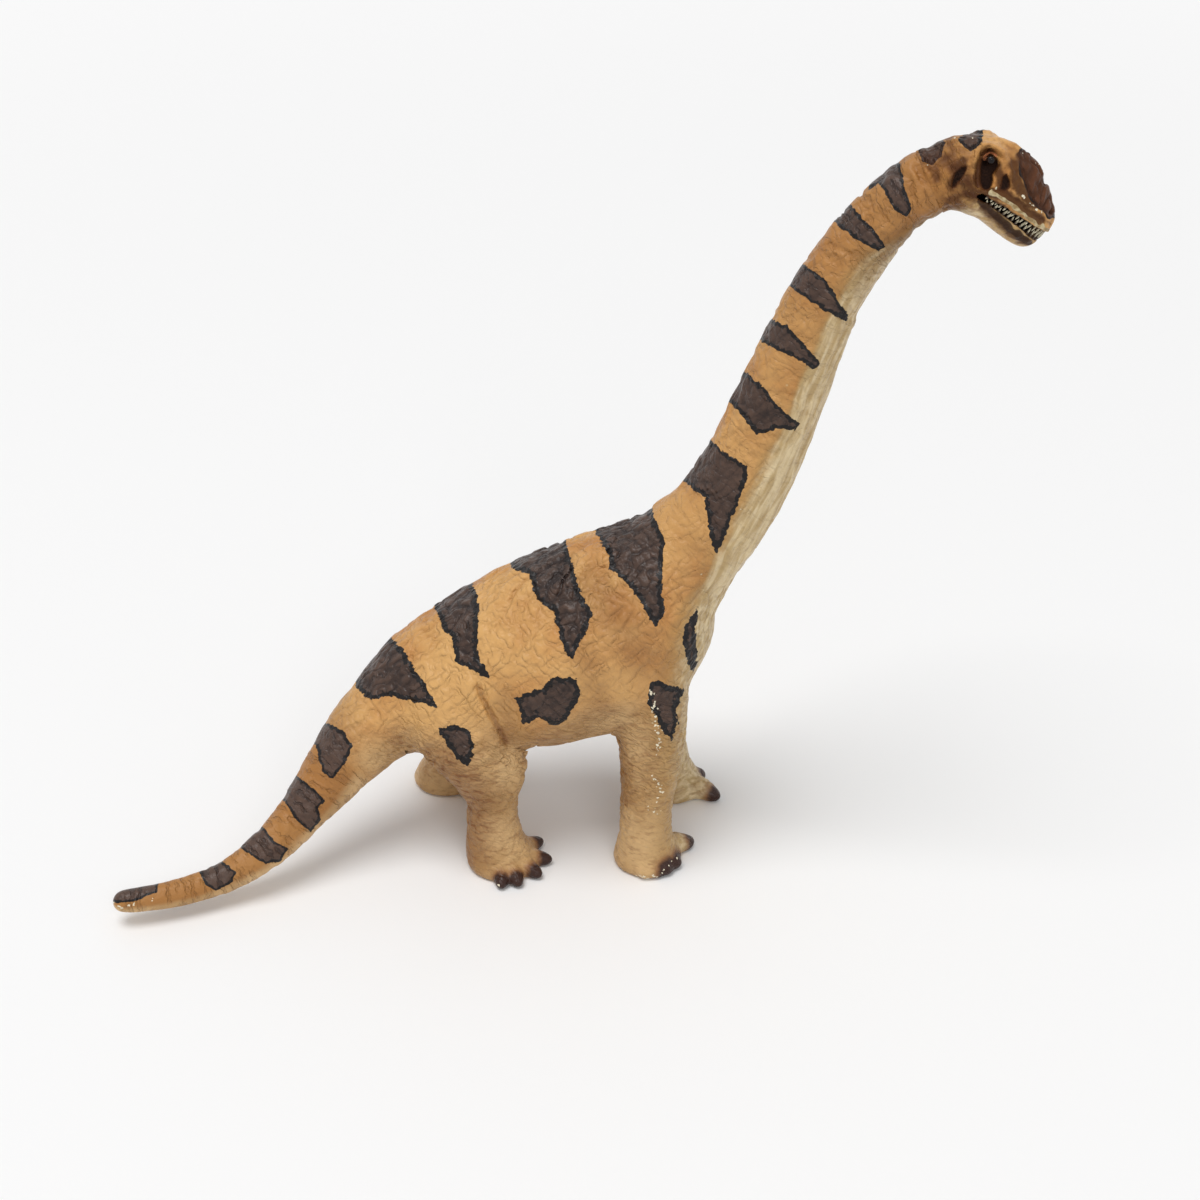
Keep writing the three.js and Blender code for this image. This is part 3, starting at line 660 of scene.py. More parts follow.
class Paint:
    """A socket of a material. Sums on it add the nodes that work them out."""

    def __init__(self, tree, socket=None):
        self.tree = tree
        self.socket = socket

    def node(self, kind, settings=None, values=None, output=0):
        made = self.tree.nodes.new("ShaderNode" + kind)
        for name, value in (settings or {}).items():
            setattr(made, name, value)
        for name, value in (values or {}).items():
            if isinstance(value, Paint):
                value.feed(made, name)
            else:
                made.inputs[name].default_value = value
        return Paint(self.tree, made.outputs[output])

    def feed(self, shader, name):
        self.tree.links.new(self.socket, shader.inputs[name])

    def math(self, operation, *values):
        return self.node("Math", {"operation": operation}, dict(enumerate(values)))

    def __add__(self, other):
        return self.math("ADD", self, other)

    def __sub__(self, other):
        return self.math("SUBTRACT", self, other)

    def __rsub__(self, other):
        return self.math("SUBTRACT", other, self)

    def __mul__(self, other):
        return self.math("MULTIPLY", self, other)

    __radd__ = __add__
    __rmul__ = __mul__

    def clamped(self):
        return self.node("Clamp", None, {"Value": self})

    def step(self, low, high):
        """0 below low, 1 above high, and smooth between them."""
        return self.node("MapRange", {"interpolation_type": "SMOOTHSTEP"},
                         {"Value": self, "From Min": low, "From Max": high})

    def mix(self, without, full):
        """A colour: without where this mask is 0, full where it is 1."""
        return self.node("Mix", {"data_type": "RGBA"},
                         {0: self, 6: tone(without), 7: tone(full)}, 2)

    def coated(self, *coats):
        """This colour under coats of paint, each given as its mask and its colour."""
        colour = self
        for mask, paint in coats:
            colour = mask.mix(colour, paint)
        return colour

    def mix_value(self, without, full):
        return self.node("Mix", {"data_type": "FLOAT"}, {0: self, 2: without, 3: full})

    def noise(self, scale, detail=2.0):
        return self.node("TexNoise", None, {"Vector": self, "Scale": scale, "Detail": detail})

    def mask(self, name, output="Fac"):
        return self.node("Attribute", {"attribute_name": name}, None, output)

    def scaled(self, x, y, z):
        return self.node("VectorMath", {"operation": "MULTIPLY"}, {0: self, 1: (x, y, z)})

    def turned(self, x, y, z):
        return self.node("Mapping", {"vector_type": "POINT"},
                         {"Vector": self, "Rotation": (x, y, z)})

    def bent(self, scale, reach):
        """A place moved about by up to reach, in lumps of which scale go to a unit."""
        lumpy = self.node("TexNoise", None, {"Vector": self, "Scale": scale, "Detail": 2.0}, 1)
        moved = lumpy.scaled(2 * reach, 2 * reach, 2 * reach)
        return self.node("VectorMath", {"operation": "ADD"}, {0: self, 1: moved})

    def wandering_creases(self, width):
        """1 on thin creases about a unit apart, and 0 between them."""
        off = self.noise(1.0, 1.0) - 0.5
        side = (1 - off.math("ABSOLUTE", off) * (1 / width)).clamped()
        return side * side

    def specks(self, size):
        """1 in round specks, as large as the mask size says, one to a unit cell."""
        gap = self.node("TexVoronoi", None, {"Vector": self, "Scale": 1.0})
        return (size - gap).step(0.0, 0.05)


def tone(paint):
    """A paint's colour, from the red, green and blue of 255 that a screen shows."""
    if isinstance(paint, Paint):
        return paint
    return tuple(((part / 255 + 0.055) / 1.055) ** 2.4 for part in paint) + (1.0,)


def new_paint(name):
    """A material, its shader, a sheet to paint on and the place on it in mm."""
    material = bpy.data.materials.new(name)
    material.use_nodes = True
    sheet = Paint(material.node_tree)
    place = sheet.node("TexCoord", output="Object").scaled(1 / mm, 1 / mm, 1 / mm)
    return material, material.node_tree.nodes["Principled BSDF"], sheet, place


def painted_hide(name, more_paint=None, gloss=0.25):
    """Ochre over beige vinyl, darker brown in its creases, partly as a brown wash and partly as
    painted shade, with black-edged brown stripes.
    """
    material, shader, sheet, place = new_paint(name)
    body = sheet.mask("body", "Vector")
    crease, folded, ringed, throat = map(sheet.mask, ("crease", "folded", "ringed", "throat"))
    cloudy = place.noise(0.07, 3.0).step(0.32, 0.62)
    mottled = place.noise(0.9, 3.0)
    blotchy = mottled - 0.5

    # The leather's own fine creases: two ways that cross, and shorter ones where the hide is slack
    bent = place.bent(0.35, 0.6)
    rising = bent.turned(0.0, 0.8, 0.3).scaled(0.11, 0.32, 0.42).wandering_creases(0.22)
    falling = bent.turned(0.0, -0.8, -0.3).scaled(0.12, 0.32, 0.46).wandering_creases(0.21)
    slack = bent.turned(0.2, -0.4, 0.2).scaled(0.40, 0.45, 1.1).wandering_creases(0.2)
    level = bent.scaled(0.40, 0.40, 1.5).noise(0.8).step(0.50, 0.68)
    rings = body.bent(0.5, 1.0).scaled(1.0, 0.25, 0.25).noise(0.9).step(0.50, 0.68)
    lines = folded.mix_value(rising * 0.7 + falling * 0.6, slack * 0.5 + rising * 0.2)
    lines = (lines * sheet.mask("leathery") + ringed * rings * 0.7).clamped()

    ochre = cloudy.mix((188, 132, 74), (214, 166, 104))
    beige = cloudy.mix((176, 137, 88), (206, 169, 119))
    streak = body.scaled(0.10, 0.85, 0.85).noise(1.0).step(0.34, 0.66)
    dots = place.scaled(0.35, 0.35, 0.35).specks(0.1)
    # Darker brown in the creases, fine lines and folds: partly the hide's brown wash, partly
    # painted shade in the creases
    wash_and_shade = (crease.step(0.2, 1.0) * (0.30 + 0.25 * folded) + lines * (0.10 + 0.15 * folded)
              + mottled.step(0.50, 0.72) * (0.05 + 0.25 * folded) * crease.step(-0.4, 0.5)
              + 0.35 * folded * level + 0.25 * lines * ringed
              + 0.75 * sheet.mask("shady") + 0.5 * sheet.mask("fold")).clamped()
    skin = ochre.coated(
        (ringed * 0.85, (160, 109, 56)),
        ((sheet.mask("under") + 0.3 * blotchy).step(0.1, 0.9), beige),
        (throat.step(0.0, 0.45) * 0.8, (176, 138, 84)),
        ((throat + 0.3 * blotchy).step(0.30, 0.75), streak.mix((188, 161, 114), (224, 203, 162))),
        (dots * (throat.step(0.02, 0.2) - throat.step(0.5, 0.8)), (226, 208, 166)),
        (wash_and_shade, (128, 84, 46)),
        # Painted shade on the neck's sides below the head
        ((sheet.mask("murky") + 0.5 * blotchy).step(0.05, 1.0), (118, 80, 40)))

    slim = 1 - 0.5 * ringed
    edge = sheet.mask("stripe") + 2.0 * (place.noise(0.75, 3.0) - 0.5) * slim
    filled = 1 - edge.step(-0.06, 0.06)
    brush = place.noise(1.1, 3.0) - 0.5
    inner = 1 - (edge + (1.05 + 1.9 * brush) * slim).step(-0.12, 0.12)
    # Inside the stripes the brown darkens in the creases and fine lines, partly wash and partly
    # painted shade
    brown = (mottled.step(0.3, 0.7) * 0.25 + lines * 0.7 + crease.step(0.2, 0.9) * 0.6).clamped()
    skin = filled.mix(skin, inner.mix((18, 13, 13), brown.mix((88, 67, 56), (38, 27, 24))))

    relief = place.noise(1.6, 3.0) * 0.3 - lines
    bump = sheet.node("Bump", None, {"Strength": 1.0, "Distance": leather_depth * mm,
                                     "Height": relief})
    rough = 0.30 + 0.14 * mottled + 0.12 * crease - 0.06 * filled
    if more_paint:
        skin, rough = more_paint(sheet, mottled, skin, rough)
    chips = place.bent(1.5, 0.5).scaled(1.1, 1.1, 1.1).specks(sheet.mask("worn") * 0.42)
    chips.mix(skin, (234, 224, 198)).feed(shader, "Base Color")
    rough.feed(shader, "Roughness")
    bump.feed(shader, "Normal")
    shader.inputs["Specular IOR Level"].default_value = gloss
    return material


def finish_piece(name, mesh, material, node=None):
    """Smooths and paints a piece, fixes it to the figure and hides the node it stands for."""
    for part in mesh.polygons:
        part.use_smooth = True
    mesh.set_sharp_from_angle(angle=sharp_edge)
    mesh.materials.append(material)
    piece = bpy.data.objects.new(name, mesh)
    bpy.context.scene.collection.objects.link(piece)
    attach(piece, "root")
    if node:
        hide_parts(node)


def add_skin(node, neighbours, seams, paint, step=skin_step):
    """Moulds a node's skin, cuts it at its seams, and paints and fixes it."""
    clay = mould(node, neighbours, step)
    mesh = closed_mesh(node, *clay.skin(), seams)
    set_paint(mesh, clay)
    finish_piece(node + "_skin", mesh, paint, node)
    return clay, mesh


tail_seam = seam("tail", (1, 0, 0), reach=22)
neck_seam = seam("neck", (-1, 0, 0), reach=26)
leg_names = ["hind_leg_right", "hind_leg_left", "fore_leg_right", "fore_leg_left"]
leg_seams = {name: seam(name, (0, 0, 1), reach=17) for name in leg_names}
hide_paint = painted_hide("painted_hide")
add_skin("torso", ["tail", "neck", *leg_names],
         [other_side(*one) for one in (tail_seam, neck_seam, *leg_seams.values())],
         hide_paint)


# Neck
# A tapering piece plugged into the chest. Its back is wrinkled like the flanks and its throat
# hangs in long folds, painted cream.
head_seam = seam("head", (-1, 0, 0), reach=14)
add_skin("neck", ["torso", "head"], [neck_seam, other_side(*head_seam)], hide_paint)


# Tail
# A tapering piece plugged in behind the hips, with ring wrinkles and five painted bands.
add_skin("tail", ["torso", "hind_leg_right"], [tail_seam], hide_paint)


# Legs
# Four solid legs, each plugged into its root on the torso and flat under its sole, with blunt
# claws. The hide is finely wrinkled, and brown paint lies in its level folds.
leg_step = 0.28
claw_size = np.array([3.0, 1.35, 1.35])
claw_blend = 0.9
claw_overhang = 0.2
# The claws' paint is full up to the first length from the tip, and gone beyond the second
claw_dip = 1.2, 5.4
toe_reaches = np.arange(4.0, 15.0, 0.1)
claw_height = 1.4
# Where each toe points, in degrees from straight ahead, on the right feet
toe_angles = {"hind": [-92, -70, -38, -4, 38], "fore": [-98, -78, -56, -28, 28]}
bare_toes = {"hind": 0, "fore": 2}
knee_height = 24.0
knee_radius = 3.4
knee_bulge = 0.9
knee_blend = 2.5
knee_stretch = 1.5
soles = {one["name"].removeprefix("sole_"): np.array(one["pos_m"]) / mm
         for one in frame["record"]["mounts"]}


def blend_in(clay, other, round_over):
    """Joins another form to the clay, with a rounded inner corner."""
    share = np.clip(0.5 + 0.5 * (clay.values - other) / round_over, 0, 1)
    clay.values = clay.values + share * (other - clay.values) - round_over * share * (1 - share)


def add_knee_and_claws(clay, name):
    """Bulges a hind leg's knee and rounds each toe off with a blunt claw."""
    x, y, z = clay.axes()
    if name.startswith("hind"):
        rays = np.stack(np.meshgrid(np.arange(-45, 0, 0.2), y[0, ::10, 0], knee_height,
                                    indexing="ij"), -1)
        inside = clay.read(clay.values, rays.reshape(-1, 3)).reshape(rays.shape[:2]) < 0
        front = np.where(inside, rays[:, :, 0, 0], -99).max(0)
        knee = [front.max() + knee_bulge - knee_radius, rays[0, front.argmax(), 0, 1], knee_height]
        rise = (z - knee[2]) / knee_stretch
        gap = np.sqrt((x - knee[0]) ** 2 + (y - knee[1]) ** 2 + rise ** 2)
        blend_in(clay, gap - knee_radius, knee_blend)
    side = name.split("_")
    middle = soles[side[0] + "_" + side[2]]
    clay.claws = []
    for angle in toe_angles[side[0]]:
        turn = math.radians(angle if side[2] == "right" else -angle)
        way = np.array([math.cos(turn), math.sin(turn), 0])
        ray = middle + toe_reaches[:, None] * way + [0, 0, claw_height]
        tip = toe_reaches[clay.read(clay.values, ray) < 0].max()
        centre = middle + way * (tip - claw_size[0] + claw_overhang) + [0, 0, claw_height]
        clay.claws.append((centre, way))
        blend_in(clay, claw_distance(x, y, z, *clay.claws[-1]), claw_blend)


def claw_distance(x, y, z, centre, way):
    """Distance to a claw's blunt oval, in mm."""
    ahead = (x - centre[0]) * way[0] + (y - centre[1]) * way[1]
    across = (y - centre[1]) * way[0] - (x - centre[0]) * way[1]
    parts = zip((ahead, across, z - centre[2]), claw_size)
    return (np.sqrt(sum((part / size) ** 2 for part, size in parts)) - 1) * claw_size[1]


def leg_paint(sheet, mottled, skin, rough):
    """Over the hide: claws dipped in dark brown, which fades up the toes."""
    claw = sheet.mask("claw")
    skin = skin.coated((claw.step(0.0, 0.6) * 0.8, (128, 82, 50)),
                       ((claw + 0.4 * (mottled - 0.5)).step(0.35, 0.85), (56, 33, 25)))
    return skin, rough - 0.1 * claw.step(0.5, 0.8)


leg_hide_paint = painted_hide("painted_leg_hide", leg_paint)
for name in leg_names:
    clay, mesh = add_skin(name, ["torso"], [leg_seams[name]], leg_hide_paint,
                          leg_step)
    points = mesh_points(mesh)
    painted = clay.claws[bare_toes[name[:4]]:]
    tip_gap = np.min([np.linalg.norm(points - place - (claw_size[0] + 0.3) * way, axis=1)
                      for place, way in painted], axis=0)
    set_masks(mesh, claw=1 - ramp(tip_gap, *claw_dip))


# Head
# Skull and upper jaw in one piece, plugged on the neck, with brows, eye pits, lips and a painted
# snout. The lower jaw is a piece of its own, because one mould can't release the open mouth.
head_step = 0.2
head_blur = 0.8
mouth_depth = 1.35
mouth_edge = 1.6
mouth_corner = 3.7
mouth_overlap = 0.6
head_middle = (head_low + head_high)[1] / 2
roof_middle, roof_normal = flat_face("head", (0, 0, -1))
floor_middle, floor_normal = flat_face("lower_jaw", (0.75, 0, 0.66), 0.985)
mouth_planes = np.array([roof_normal[[0, 2]], floor_normal[[0, 2]]])
hinge_x, hinge_z = np.linalg.solve(
    mouth_planes, [roof_normal @ roof_middle, floor_normal @ floor_middle])
hinge = np.array([hinge_x, head_middle, hinge_z])
crown_line = -roof_normal
mouth_line = np.array([crown_line[2], 0, -crown_line[0]])

lid_path = [(984.5, 158.5), (987, 155), (991, 153.5), (995, 155.5)]
lip_path = [(990, 192.5), (1002, 198), (1012, 206), (1025, 215.5), (1036, 224.5), (1048, 231)]
jaw_edge_path = [(981, 202), (995, 215), (1010, 229), (1029, 243)]
snout_outline = [(1017, 155), (1021, 146), (1033, 152), (1046, 165), (1056, 186), (1060, 216),
                 (1048.6, 219), (1041, 211), (1033, 204), (1024, 190), (1019.5, 173)]
# Pits of eye, cheek, ear and nostril: an outline and its depth in mm
face_pits = [
    ([(982, 159), (980.5, 167), (980, 175), (981, 183), (984, 188.5), (989, 188.5), (992, 184),
      (992.5, 177), (995.5, 171), (998, 165), (997, 159), (990, 155)], 1.25),
    ([(1003, 176), (1001.5, 182), (1001, 188), (1005, 190), (1009.5, 187), (1010, 180),
      (1007, 175)], 1.1),
    ([(966, 166), (961, 167), (955.5, 173), (951.5, 181), (951, 188), (955, 187.5), (960, 181),
      (964.5, 174)], 1.1),
    ([(1043, 177), (1042.5, 182), (1045, 185), (1048, 182), (1046, 176)], 0.6),
]
# Grooves at the mouth's corner, the lip, the snout and the brow, then ridges of brow, cheek, nose,
# inner nose and lip, as strokes
face_lines = [
    ([(966, 193.5), (975, 196.5), (984, 199)], 5, 0.45),
    ([(997, 187.5), (1007, 192), (1017, 200), (1029, 210), (1041, 219), (1053, 225)], 3, 0.3),
    ([(1018, 155), (1020.5, 166), (1024, 178), (1029, 191), (1035, 203), (1042, 209),
      (1054, 214)], 3, 0.35),
    ([(977.5, 186), (976.5, 174), (978, 162), (982.5, 154), (989, 150.3), (996, 151.5),
      (1001, 157)], 3.5, 0.35),
    ([(975, 162), (977, 151), (985, 144), (996, 145), (1002.5, 153), (1003, 163)], 5.5, -0.6),
    ([(976, 152), (973, 165), (973, 180), (978, 191)], 6, -0.35),
    ([(1004, 150), (1008, 164), (1013, 178), (1015, 190)], 5, -0.4),
    ([(1001, 163), (998, 175), (992, 188)], 4, -0.4),
    (lip_path, 5, -0.4),
]
face_shadows = [
    ([(978, 184), (979, 165), (986, 152)], 9, 0.9), ([(964, 182), (974, 192)], 14, 0.8),
    ([(976, 194), (990, 193), (1003, 195), (1020, 206), (1040, 220)], 10, 1.0),
    ([(948, 202), (962, 197), (980, 198)], 10, 0.5),
    ([(1014, 164), (1016, 184), (1031, 203)], 12, 0.9), ([(962, 164), (953, 184)], 12, 0.9),
    ([(981, 195), (1000, 206), (1020, 221), (1042, 237)], 5, 1.0),
    ([(998, 166), (1004, 190)], 10, 0.8), ([(984, 208), (1010, 232), (1027, 243)], 9, 0.75),
]


def close_mouth_and_cut_it(clay):
    """Closes the mouth through the head, smooths it, and cuts a shallow mouth into its sides."""
    x, _, z = clay.axes()
    along, rise, above_floor = ((x - hinge[0]) * way[0] + (z - hinge[2]) * way[2]
                                for way in (mouth_line, crown_line, floor_normal))
    inside = (rise < mouth_overlap) & (above_floor > -mouth_overlap) & (along > 0.5)
    where = np.nonzero(np.broadcast_to(inside, clay.values.shape))
    points = (np.stack(where, -1) + clay.first) * clay.step
    height = (points - hinge) @ crown_line
    depth = (points - hinge) @ floor_normal
    upper = clay.read(clay.values, points + (mouth_edge - height)[:, None] * crown_line)
    lower = clay.read(clay.values, points - (mouth_edge + depth)[:, None] * floor_normal)
    share = np.clip(depth / (depth - height + 1e-6), 0, 1)
    clay.values[where] = np.minimum(clay.values[where], lower + share * (upper - lower))
    clay.values = clay.blurred(head_blur)
    clay.closed = clay.values.copy()
    wedge = np.maximum(np.maximum(rise + 0.1, -above_floor), mouth_corner - along)
    recess = mouth_depth * (1 - 0.65 * ramp(along, 13, 19))
    clay.values = np.maximum(clay.values, -np.maximum(wedge, -(clay.closed + recess)))


def seen_side(points, normals):
    """The photograph's pixels of a head's points, both sides taken for the one it shows, and how
    much each faces the camera there."""
    shown = points.copy()
    shown[:, 1] = head_middle - np.abs(points[:, 1] - head_middle)
    ways = normals.copy()
    ways[:, 1] *= np.where(points[:, 1] > head_middle, -1, 1)
    return in_photo(shown)[0], ramp(-(ways @ sight), -0.05, 0.3)


def face_relief(clay, where, points):
    """How deep the face is pressed in: pits, brows, ridges and lips."""
    slopes = np.stack([slope[where] for slope in np.gradient(clay.closed)], -1)
    slopes /= np.linalg.norm(slopes, axis=1)[:, None] + 1e-9
    pixels, shown = seen_side(points, slopes)
    pixels = pixels + 1.2 * shifts(points / 1.3, 43, 44)
    depth = strokes(pixels, face_lines, np.sum)
    for outline, deep in face_pits:
        depth += deep * ramp(-distance_inside(pixels, outline), -2.0, 2.5)
    snout = ramp(-distance_inside(pixels, snout_outline), 1, 5)
    uneven = points + 0.5 * lumps(points / 1.5, 47)[:, None]
    ridges = wandering_creases(uneven, crown_line, 4.0, 1.25, 48)
    depth += 0.45 * snout * ridges + 0.18 * (lumps(points / 1.7, 45) + 0.5)
    return (depth + 0.08 * lumps(points / 0.8, 46)) * shown


def set_face_paint(mesh, clay):
    """Where the face's own paints go, kept with its points."""
    set_paint(mesh, clay)
    points = mesh_points(mesh)
    pixels, shown = seen_side(points, rows_of(mesh.vertex_normals, "vector").astype(float))
    wander = pixels + 2.0 * shifts(points / 1.1, 41, 42)
    rise = (points - hinge) @ crown_line
    low_down = ramp(0.8 * lumps(points / 3.0, 49) - rise, -1.0, 2.0)
    set_masks(
        mesh,
        snout=-distance_inside(wander, snout_outline),
        shown=shown,
        lip=near_path(wander, lip_path, 4.4) * shown,
        shadow=strokes(wander, face_shadows) * shown,
        lid=near_path(pixels, lid_path, 3.6) * shown,
        gum=near_path(wander, jaw_edge_path, 7) * shown,
        sunk=-clay.read(clay.closed, points))
    behind = 1 - ramp(points[:, 0], face_start - 7, face_start + 3)
    on_neck = np.empty(len(points), np.float32)
    on_face = {"under": low_down, "throat": 0.5 * low_down, "leathery": 0.1}
    for name in ("under", "throat", "folded", "murky", "shady", "fold", "ringed", "leathery"):
        kept = mesh.attributes[name].data
        kept.foreach_get("value", on_neck)
        values = on_face.get(name, 0)
        kept.foreach_set("value", (values + behind * (on_neck - values)).astype(np.float32))


def face_paint(sheet, mottled, skin, rough):
    """Over the hide: a dark snout with a black edge, cream lips, painted shadows on the face, and
    brown in pits and mouth that darkens with depth, partly paint and partly painted shade.
    """
    crease, sunk = sheet.mask("crease"), sheet.mask("sunk")
    bare = sheet.mask("stripe").step(0.0, 0.6)
    shadow = (sheet.mask("shadow") + 0.6 * (mottled - 0.5)).step(0.05, 0.75)
    snout = sheet.mask("snout") * sheet.mask("shown")
    # The snout's dark brown, near black in its creases, partly as painted shade
    dark = (1 - crease.step(0.1, 0.6) * 0.9).mix((26, 15, 11), (92, 56, 36))
    cream = mottled.step(0.35, 0.6).mix((150, 126, 88), (198, 182, 144))
    skin = skin.coated(
        (bare * mottled.step(0.4, 0.7) * 0.4, (128, 80, 46)),
        (bare * shadow * 0.9, (74, 42, 20)),
        # Brown in the face's creases, partly wash and partly painted shade
        (bare * crease.step(0.15, 0.7) * 0.7, (78, 42, 20)),
        (snout.step(0.0, 1.0), snout.step(2.0, 5.0).mix((26, 18, 17), dark)),
        (sheet.mask("lip").step(0.45, 0.7), cream),
        # Dark brown along the jaw's upper edge: gum paint and painted shade under the upper jaw
        (sheet.mask("gum").step(0.3, 0.7) * 0.9, (48, 28, 15)),
        # Pits and mouth go brown, then near black the deeper they lie: partly paint, partly painted
        # shade
        (sunk.step(0.1, 0.8) * 0.8, (84, 50, 30)),
        (sunk.step(0.5, 1.2), (28, 17, 14)),
        (sheet.mask("lid").step(0.25, 0.6), (200, 128, 88)))
    return skin, rough - 0.05 + 0.4 * sunk.step(0.4, 0.9)


head_paint = painted_hide("painted_head", face_paint, 0.12)
head_clay = mould("head", ["neck", "lower_jaw"], head_step)
jaw_reach = 30
jaw_slope = hinge + 0.25 * floor_normal, -floor_normal
jaw_back_middle, jaw_back_normal = flat_face("lower_jaw", (-0.9, 0, 0.42), 0.98)
jaw_back = jaw_back_middle + jaw_back_normal * glue_gap / 2, -jaw_back_normal
head_mesh = closed_mesh("head", *head_clay.skin(), [head_seam, (jaw_reach, jaw_slope, jaw_back)])
set_face_paint(head_mesh, head_clay)
finish_piece("head_skin", head_mesh, head_paint, "head")


# Upper teeth
# Small pegs moulded along the upper lip, longer towards the snout, painted white from brown roots.
tooth_spacing = 1.15
tooth_radius = 0.235
tooth_inset = 0.6
tooth_root = 0.3
tooth_bend = 0.15
# Rings of a peg: a share of its height and of its radius
tooth_rings = [(0.0, 1.0), (0.3, 0.98), (0.55, 0.85), (0.78, 0.62), (0.93, 0.34), (1.0, 0.08)]
tooth_sides = 8
teeth_start = 4.6


def mouth_edge_line(normal):
    """The edge of the mouth's roof or floor on the skin, from the right corner to the left."""
    line = np.array([normal[2], 0, -normal[0]])
    side = np.arange(0, 9, 0.05)
    edge = []
    for along in np.arange(teeth_start, 24, 0.1):
        row = hinge + along * line + side[:, None] * [0, -1, 0]
        inside = head_clay.read(head_clay.closed, row) < 0
        if not inside[0]:
            break
        edge.append(row[inside][-1])
    edge = np.array(edge)
    mirrored = edge[::-1] * [1, -1, 1] + [0, 2 * head_middle, 0]
    return np.concatenate([edge, mirrored])


def even_places(edge, shares):
    """Places along an edge at shares of its length."""
    run = np.concatenate([[0], np.cumsum(np.linalg.norm(np.diff(edge, axis=0), axis=1))])
    return np.stack([np.interp(shares * run[-1], run, edge[:, k]) for k in range(3)], -1), run[-1]


def ring_faces(start, rings, sides):
    """Faces between rings of points, numbered from start, and one on each end."""
    faces, last = [], start + (rings - 1) * sides
    for low in range(start, last, sides):
        high = low + sides
        for one in range(sides):
            after = (one + 1) % sides
            faces.append((low + one, low + after, high + after, high + one))
    ends = range(start + sides - 1, start - 1, -1), range(last, last + sides)
    return [*faces, *map(tuple, ends)]


def add_teeth(name, edge, far_edge, reach_share, phase):
    """A row of teeth on one side of the mouth, as one mesh of closed pegs."""
    _, length = even_places(edge, np.zeros(1))
    shares = (np.arange(int(length / tooth_spacing)) + 0.25 + 0.5 * phase) * tooth_spacing / length
    bases, _ = even_places(edge, shares)
    ends, _ = even_places(far_edge, shares)
    before, _ = even_places(edge, shares - 0.02)
    after, _ = even_places(edge, shares + 0.02)
    turns = 2 * math.pi * np.arange(tooth_sides)[:, None] / tooth_sides
    points, faces, tips = [], [], []
    for index, (base, end, ahead) in enumerate(zip(bases, ends, after - before)):
        vary = scattered(np.array([[index, phase, 7]]), 51)[0]
        grown = 0.85 + 0.3 * vary
        up = end - base + np.array([0.5, 0, -0.3]) * (vary - 0.5) * (1 if phase else -1)
        gape = np.linalg.norm(up)
        up /= gape
        first = ahead / np.linalg.norm(ahead)
        inward = np.cross(up, first)
        inward *= np.sign(inward @ (hinge + 12 * mouth_line - base))
        root = base + inward * tooth_inset - up * tooth_root
        size = reach_share * gape * grown + tooth_root
        faces += ring_faces(len(points), len(tooth_rings), tooth_sides)
        for rise, width in tooth_rings:
            centre = root + up * size * rise - inward * tooth_bend * math.sin(math.pi * rise)
            radius = tooth_radius * width * grown
            points.extend(centre + radius * (np.cos(turns) * first + np.sin(turns) * inward))
            tips += [rise] * tooth_sides
    mesh = closed_mesh(name, points, faces)
    set_masks(mesh, tip=tips)
    finish_piece(name, mesh, tooth_enamel)


def enamel():
    """White paint on the teeth, brown at their roots."""
    material, shader, sheet, place = new_paint("tooth_enamel")
    worn = place.noise(2.2, 2.0)
    root = 1 - (sheet.mask("tip") + 0.5 * (worn - 0.5)).step(0.2, 0.65)
    white = worn.step(0.3, 0.7).mix((160, 150, 122), (210, 203, 176))
    root.mix(white, (56, 35, 22)).feed(shader, "Base Color")
    (0.25 + 0.3 * root).feed(shader, "Roughness")
    return material


tooth_enamel = enamel()
upper_edge = mouth_edge_line(crown_line)
lower_edge = mouth_edge_line(floor_normal)
add_teeth("upper_teeth", upper_edge, lower_edge, 0.75, 0)


# Eyes
# Two glossy black beads, each on a stem that is pressed into the skull below the brow.
eye_share = 0.88
eye_stem_share = 0.5
eye_sides = 32


def eye_gloss():
    """Black lacquer, cloudy brown deep down, under a clear coat."""
    material, shader, _, place = new_paint("eye_gloss")
    cloud = place.noise(1.5, 3.0)
    cloud.step(0.4, 0.8).mix((14, 11, 11), (44, 26, 20)).feed(shader, "Base Color")
    (0.08 + 0.1 * cloud).feed(shader, "Roughness")
    shader.inputs["Specular IOR Level"].default_value = 0.1
    shader.inputs["Coat Weight"].default_value = 0.2
    shader.inputs["Coat Roughness"].default_value = 0.02
    return material


eye_paint = eye_gloss()
for name, outward in (("eye_right", -1), ("eye_left", 1)):
    low, high = cad_limits(name)
    radius = eye_share * (high[2] - low[2]) / 2
    centre = (low + high) / 2
    centre[1] = low[1] + radius if outward < 0 else high[1] - radius
    stem_end = (high[1] - low[1]) - radius
    turns = np.linspace(0.03, math.pi - math.asin(eye_stem_share), 14)
    profile = [*zip(radius * np.cos(turns), radius * np.sin(turns)),
               (-0.92 * stem_end, radius * eye_stem_share),
               (-stem_end, 0.8 * radius * eye_stem_share)]
    points = [centre + [across * math.cos(turn), outward * ahead, across * math.sin(turn)]
              for ahead, across in profile
              for turn in 2 * math.pi * np.arange(eye_sides) / eye_sides]
    bead = closed_mesh(name + "_bead", points, ring_faces(0, len(profile), eye_sides))
    finish_piece(name + "_bead", bead, eye_paint, name)


# Lower jaw
# Moulded by itself and held by a tongue in the head. Its upper edge is dark brown where it meets
# the teeth, as gum paint and painted shade under the upper jaw, and it is beige below.
jaw_mesh = closed_mesh("lower_jaw", *head_clay.skin(), [
    head_seam, other_side(jaw_reach, jaw_slope), other_side(jaw_reach, jaw_back)])
set_face_paint(jaw_mesh, head_clay)
finish_piece("lower_jaw_skin", jaw_mesh, head_paint, "lower_jaw")
add_teeth("lower_teeth", lower_edge, upper_edge, 0.65, 1)


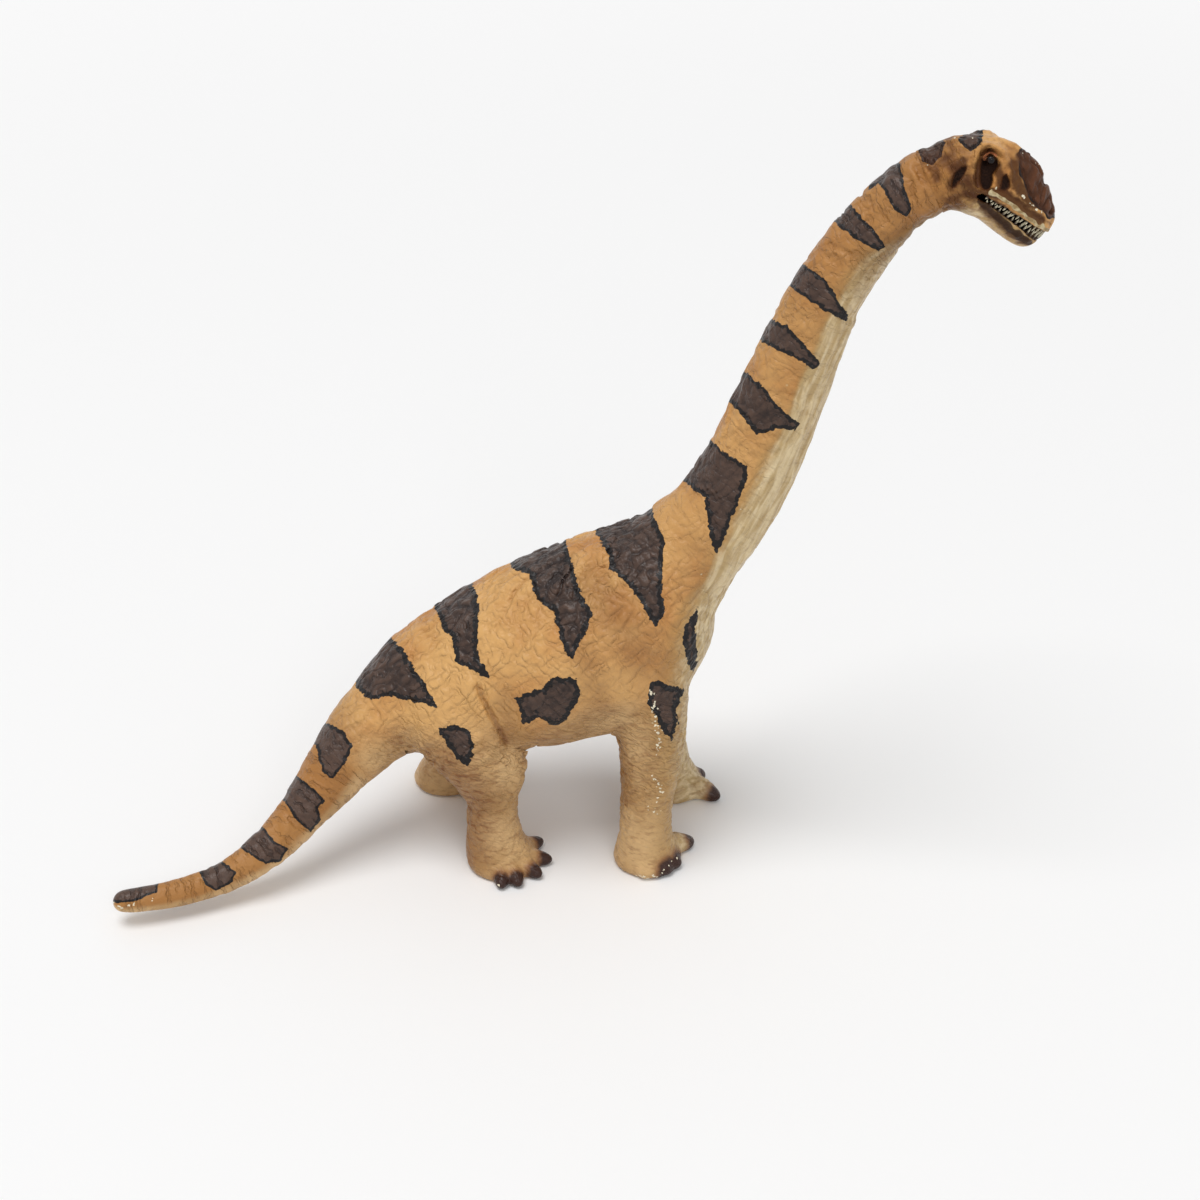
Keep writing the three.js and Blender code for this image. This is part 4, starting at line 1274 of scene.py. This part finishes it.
# Floor and light
# A plain pale floor that keeps the shadow, and soft light from a wide lamp overhead and a weaker
# one in front. Far from the figure the floor fades into the white backdrop.
floor_half = 6
fade_start = 250
fade_end = 1300
floor_mesh = bpy.data.meshes.new("floor")
floor_mesh.from_pydata([(-floor_half, -floor_half, 0), (floor_half, -floor_half, 0),
                        (floor_half, floor_half, 0), (-floor_half, floor_half, 0)],
                       [], [(0, 1, 2, 3)])
floor = bpy.data.objects.new("floor", floor_mesh)
bpy.context.scene.collection.objects.link(floor)
floor_paint, floor_shader, floor_sheet, floor_place = new_paint("pale_floor")
floor_shader.inputs["Base Color"].default_value = (0.92, 0.92, 0.92, 1)
floor_shader.inputs["Roughness"].default_value = 0.6
floor_mesh.materials.append(floor_paint)


def seen_directly(sheet):
    """1 for what the camera sees, also in gloss, and 0 for light on its way to the figure."""
    return sum(sheet.node("LightPath", output="Is " + kind + " Ray")
               for kind in ("Camera", "Glossy", "Transmission")).clamped()


distance = floor_place.node("VectorMath", {"operation": "LENGTH"}, {0: floor_place}, 1)
far = distance.step(fade_start, fade_end)
white = floor_sheet.node("Emission", None, {"Color": (1, 1, 1, 1), "Strength": 1.0})
floor_sheet.node("MixShader", None, {
    0: far * seen_directly(floor_sheet), 1: Paint(floor_paint.node_tree, floor_shader.outputs[0]),
    2: white}).feed(floor_paint.node_tree.nodes["Material Output"], "Surface")

world = bpy.data.worlds.new("studio")
world.use_nodes = True
backdrop = world.node_tree.nodes["Background"]
backdrop.inputs["Color"].default_value = (1.0, 1.0, 1.0, 1)
(0.45 + 0.55 * seen_directly(Paint(world.node_tree))).feed(backdrop, "Strength")
bpy.context.scene.world = world


def soft_lamp(name, place, size, watts):
    lamp = bpy.data.objects.new(name, bpy.data.lights.new(name, "AREA"))
    lamp.data.shape = "DISK"
    lamp.data.size = size
    lamp.data.energy = watts
    lamp.location = place
    lamp.rotation_euler = (-Vector(place)).to_track_quat("-Z", "Y").to_euler()
    bpy.context.scene.collection.objects.link(lamp)


soft_lamp("overhead_lamp", (-0.9, -0.8, 4.5), 2.8, 118.0)
soft_lamp("front_lamp", (1.2, -4.4, 3.4), 2.4, 48.0)
bpy.context.scene.view_settings.view_transform = "Standard"
